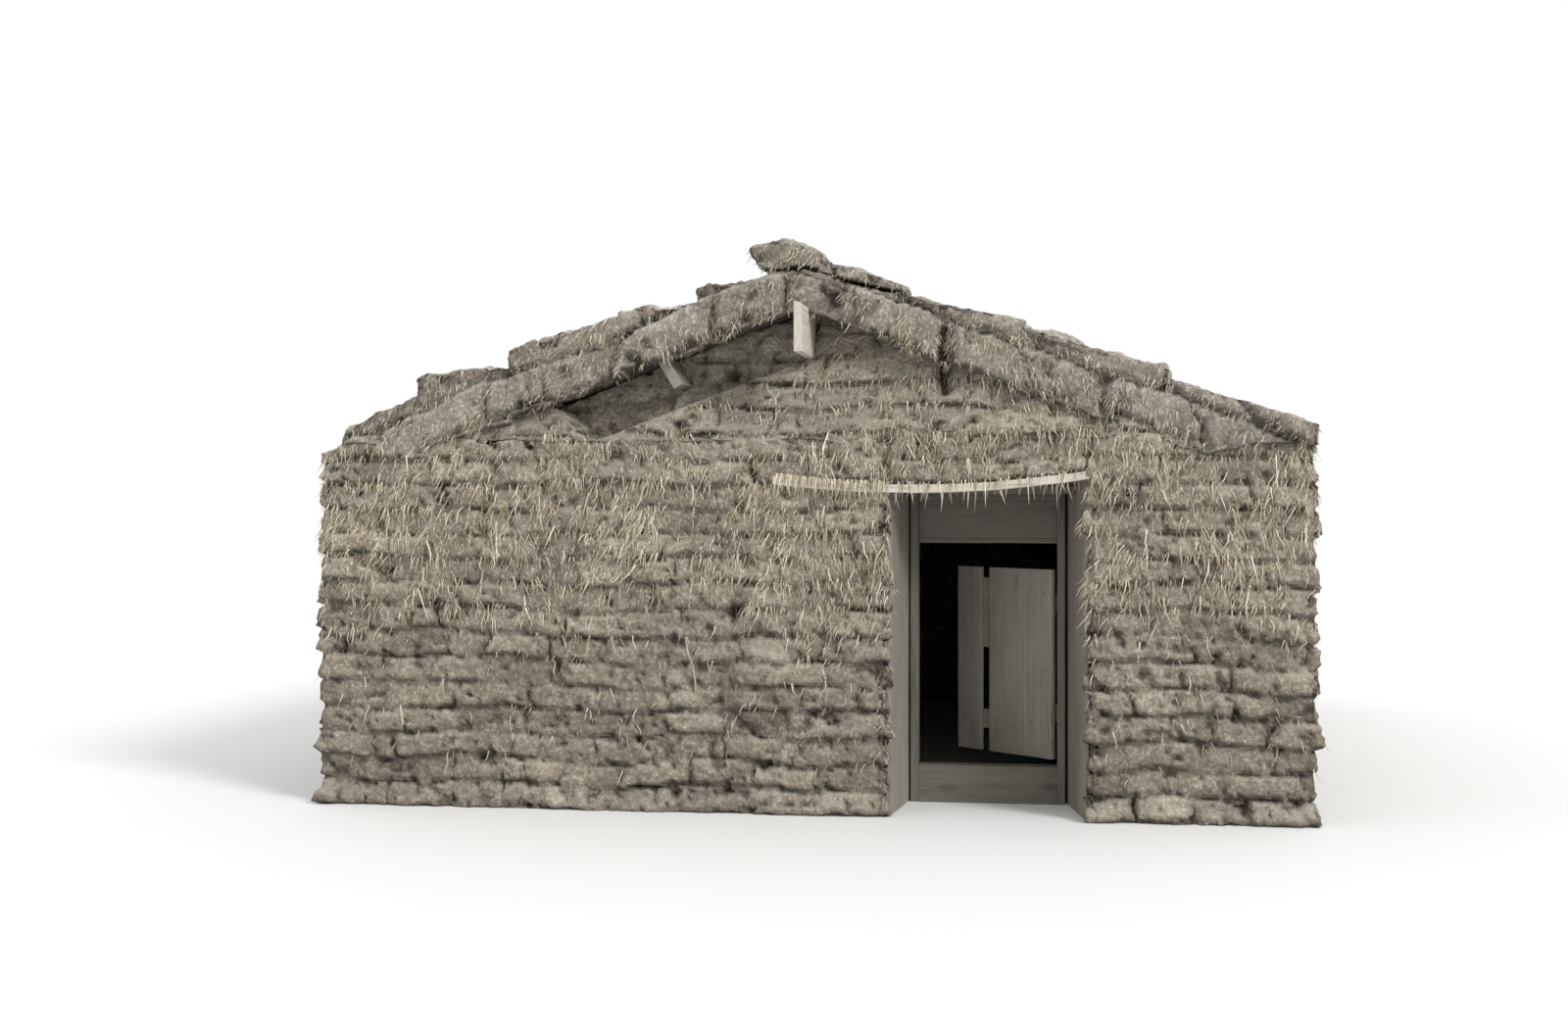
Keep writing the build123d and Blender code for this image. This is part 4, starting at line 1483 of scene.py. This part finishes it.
class BuildGrass(bpy.types.Operator):
    """Hang dry grass and roots on the walls, the gables and the edges of the roof"""

    bl_idname = "turf_house.build_grass"
    bl_label = "Hanging Grass"

    def execute(self, context):
        grass = context.scene.turf_house.grass
        front = grass.front_density
        side = grass.side_density
        walls = ["front_wall_left", "front_wall_right"]
        gables = ["front_gable_left", "front_gable_right"]
        grass_on([*walls, "front_wall_over_door"], "front_wall_grass", front, 3,
                 side_share=side / front)
        grass_on(gables, "front_gable_grass", front, 4, side_share=side / front)
        grass_on(["left_wall"], "left_wall_grass", side, 5)
        grass_on(["right_wall"], "right_wall_grass", side, 6)
        grass_on(["back_wall", "back_gable"], "back_grass", side, 7)
        grass_on(ROOF_NODES, "roof_grass", grass.roof_density, 8, length=0.7, joint_share=0.5,
                 side_share=0.25)
        grass_on([*walls, *gables], "front_straws", grass.straw_density, 9, length=2.0, lift=0.2,
                 joint_share=0.6, side_share=side / front)
        rake_fringe(-1, "front_fringe", 21)
        rake_fringe(1, "back_fringe", 22)
        lintel_fringe()
        return {"FINISHED"}


class BuildRoofTimber(bpy.types.Operator):
    """Dress the ridge board, the purlins and the roof boards"""

    bl_idname = "turf_house.build_roof_timber"
    bl_label = "Roof Timber"

    def execute(self, context):
        chance = Random(23)
        cell = context.scene.turf_house.timber.cell * 4
        boards_of(["ridge_board"], "pale board along", "house", "pale_board", ALONG, cell)
        boards_of(["purlin_left", "purlin_right"], "grey board along", "house", "grey_board",
                  ALONG, cell)
        roof_boards(-1, chance)
        roof_boards(1, chance)
        return {"FINISHED"}


class BuildDoorway(bpy.types.Operator):
    """Dress the lintels, the linings and the door frame"""

    bl_idname = "turf_house.build_doorway"
    bl_label = "Doorway Timber"

    def execute(self, context):
        sagging_lintel()
        boards_of(["door_inner_lintel", "door_head", "door_sill", "transom_board", "transom_rail"],
                  "frame board across", "house", "grey_board", ACROSS)
        boards_of(["reveal_plank_left", "reveal_plank_right"], "grey board up", "house",
                  "grey_board", UP)
        boards_of(["door_post_left", "door_post_right"], "frame board up", "house", "grey_board",
                  UP)
        nail_heads("frame_nails", frame_nail_places(), -ALONG, "house")
        return {"FINISHED"}


class BuildDoor(bpy.types.Operator):
    """Dress the boards and ledges of the door leaf"""

    bl_idname = "turf_house.build_door"
    bl_label = "Door Leaf"

    def execute(self, context):
        boards_of([*LEAF_BOARDS, "door_patch"], "door board up", "door", "door_board", UP)
        leaf_run = Vector((cos(door_turn()), -sin(door_turn()), 0))
        boards_of(LEDGES, "door board across", "door", "door_board", leaf_run)
        outwards = Vector((-sin(door_turn()), -cos(door_turn()), 0))
        nail_heads("leaf_nails", leaf_nail_places(outwards), outwards, "door")
        return {"FINISHED"}


class BuildHinges(bpy.types.Operator):
    """Give the iron hinges their rust"""

    bl_idname = "turf_house.build_hinges"
    bl_label = "Iron Hinges"

    def execute(self, context):
        for node in ("hinge_plates", "hinge_straps"):
            iron = frame["nodes"][node]
            iron.data.materials.clear()
            iron.data.materials.append(finish("rusted iron"))
        return {"FINISHED"}


class BuildStage(bpy.types.Operator):
    """Set up the floor, the light and the camera"""

    bl_idname = "turf_house.build_stage"
    bl_label = "Studio"

    def execute(self, context):
        studio = context.scene.turf_house.studio
        deselect()
        bpy.ops.mesh.primitive_plane_add(size=studio.floor_size)
        floor = context.active_object
        floor.name = "floor"
        floor.data.materials.append(finish("studio floor"))
        build_sky(studio.sky_strength)
        bpy.ops.object.light_add(type="SUN", location=(6, -8, 9))
        key = context.active_object
        key.name = "key_light"
        key.data.energy = studio.key_strength
        key.data.angle = studio.key_softness
        from_light = Vector((sin(studio.key_bearing) * cos(studio.key_height),
                             -cos(studio.key_bearing) * cos(studio.key_height),
                             sin(studio.key_height)))
        key.rotation_euler = from_light.to_track_quat("Z", "Y").to_euler()
        bpy.ops.object.camera_add(location=studio.camera_place,
                                  rotation=(pi / 2, 0, studio.camera_heading))
        camera = context.active_object
        camera.name = "camera"
        camera.data.lens = studio.lens
        camera.data.shift_y = studio.horizon_shift
        camera.data.clip_end = studio.floor_size * 2
        context.scene.camera = camera
        context.scene.view_settings.view_transform = "Standard"
        return {"FINISHED"}


def build_sky(strength):
    """An even white light all round, which the camera sees as plain white."""
    world = bpy.data.worlds.new("studio")
    world.use_nodes = True
    bpy.context.scene.world = world
    wire = Wiring(world.node_tree)
    rays = wire.node("ShaderNodeLightPath")
    seen = wire.greatest(rays["Is Camera Ray"], rays["Is Glossy Ray"], rays["Is Transmission Ray"])
    wire.feed(world.node_tree.nodes["Background"].inputs, {
        "Color": (1, 1, 1, 1), "Strength": wire.fit(seen, 0.0, 1.0, strength, 1.0)})


BUILDERS = [BuildWalls, BuildGables, BuildRoofSods, BuildGrass, BuildRoofTimber, BuildDoorway,
            BuildDoor, BuildHinges, BuildStage]


class TurfHousePanel(bpy.types.Panel):
    """Builds the turf house, a group of pieces at a time"""

    bl_idname = "VIEW3D_PT_turf_house"
    bl_label = "Turf House"
    bl_space_type = "VIEW_3D"
    bl_region_type = "UI"
    bl_category = "Turf House"

    def draw(self, context):
        for builder in BUILDERS:
            self.layout.operator(builder.bl_idname)


CLASSES = [WallSods, RoofSods, HangingGrass, OldTimber, Finishes, Studio, TurfHouse, *BUILDERS,
           TurfHousePanel]


def register():
    for each in CLASSES:
        bpy.utils.register_class(each)
    bpy.types.Scene.turf_house = bpy.props.PointerProperty(type=TurfHouse)


def unregister():
    del bpy.types.Scene.turf_house
    for each in reversed(CLASSES):
        bpy.utils.unregister_class(each)


def main():
    register()
    for builder in BUILDERS:
        category, name = builder.bl_idname.split(".")
        getattr(getattr(bpy.ops, category), name)()


if __name__ == "__main__":
    main()
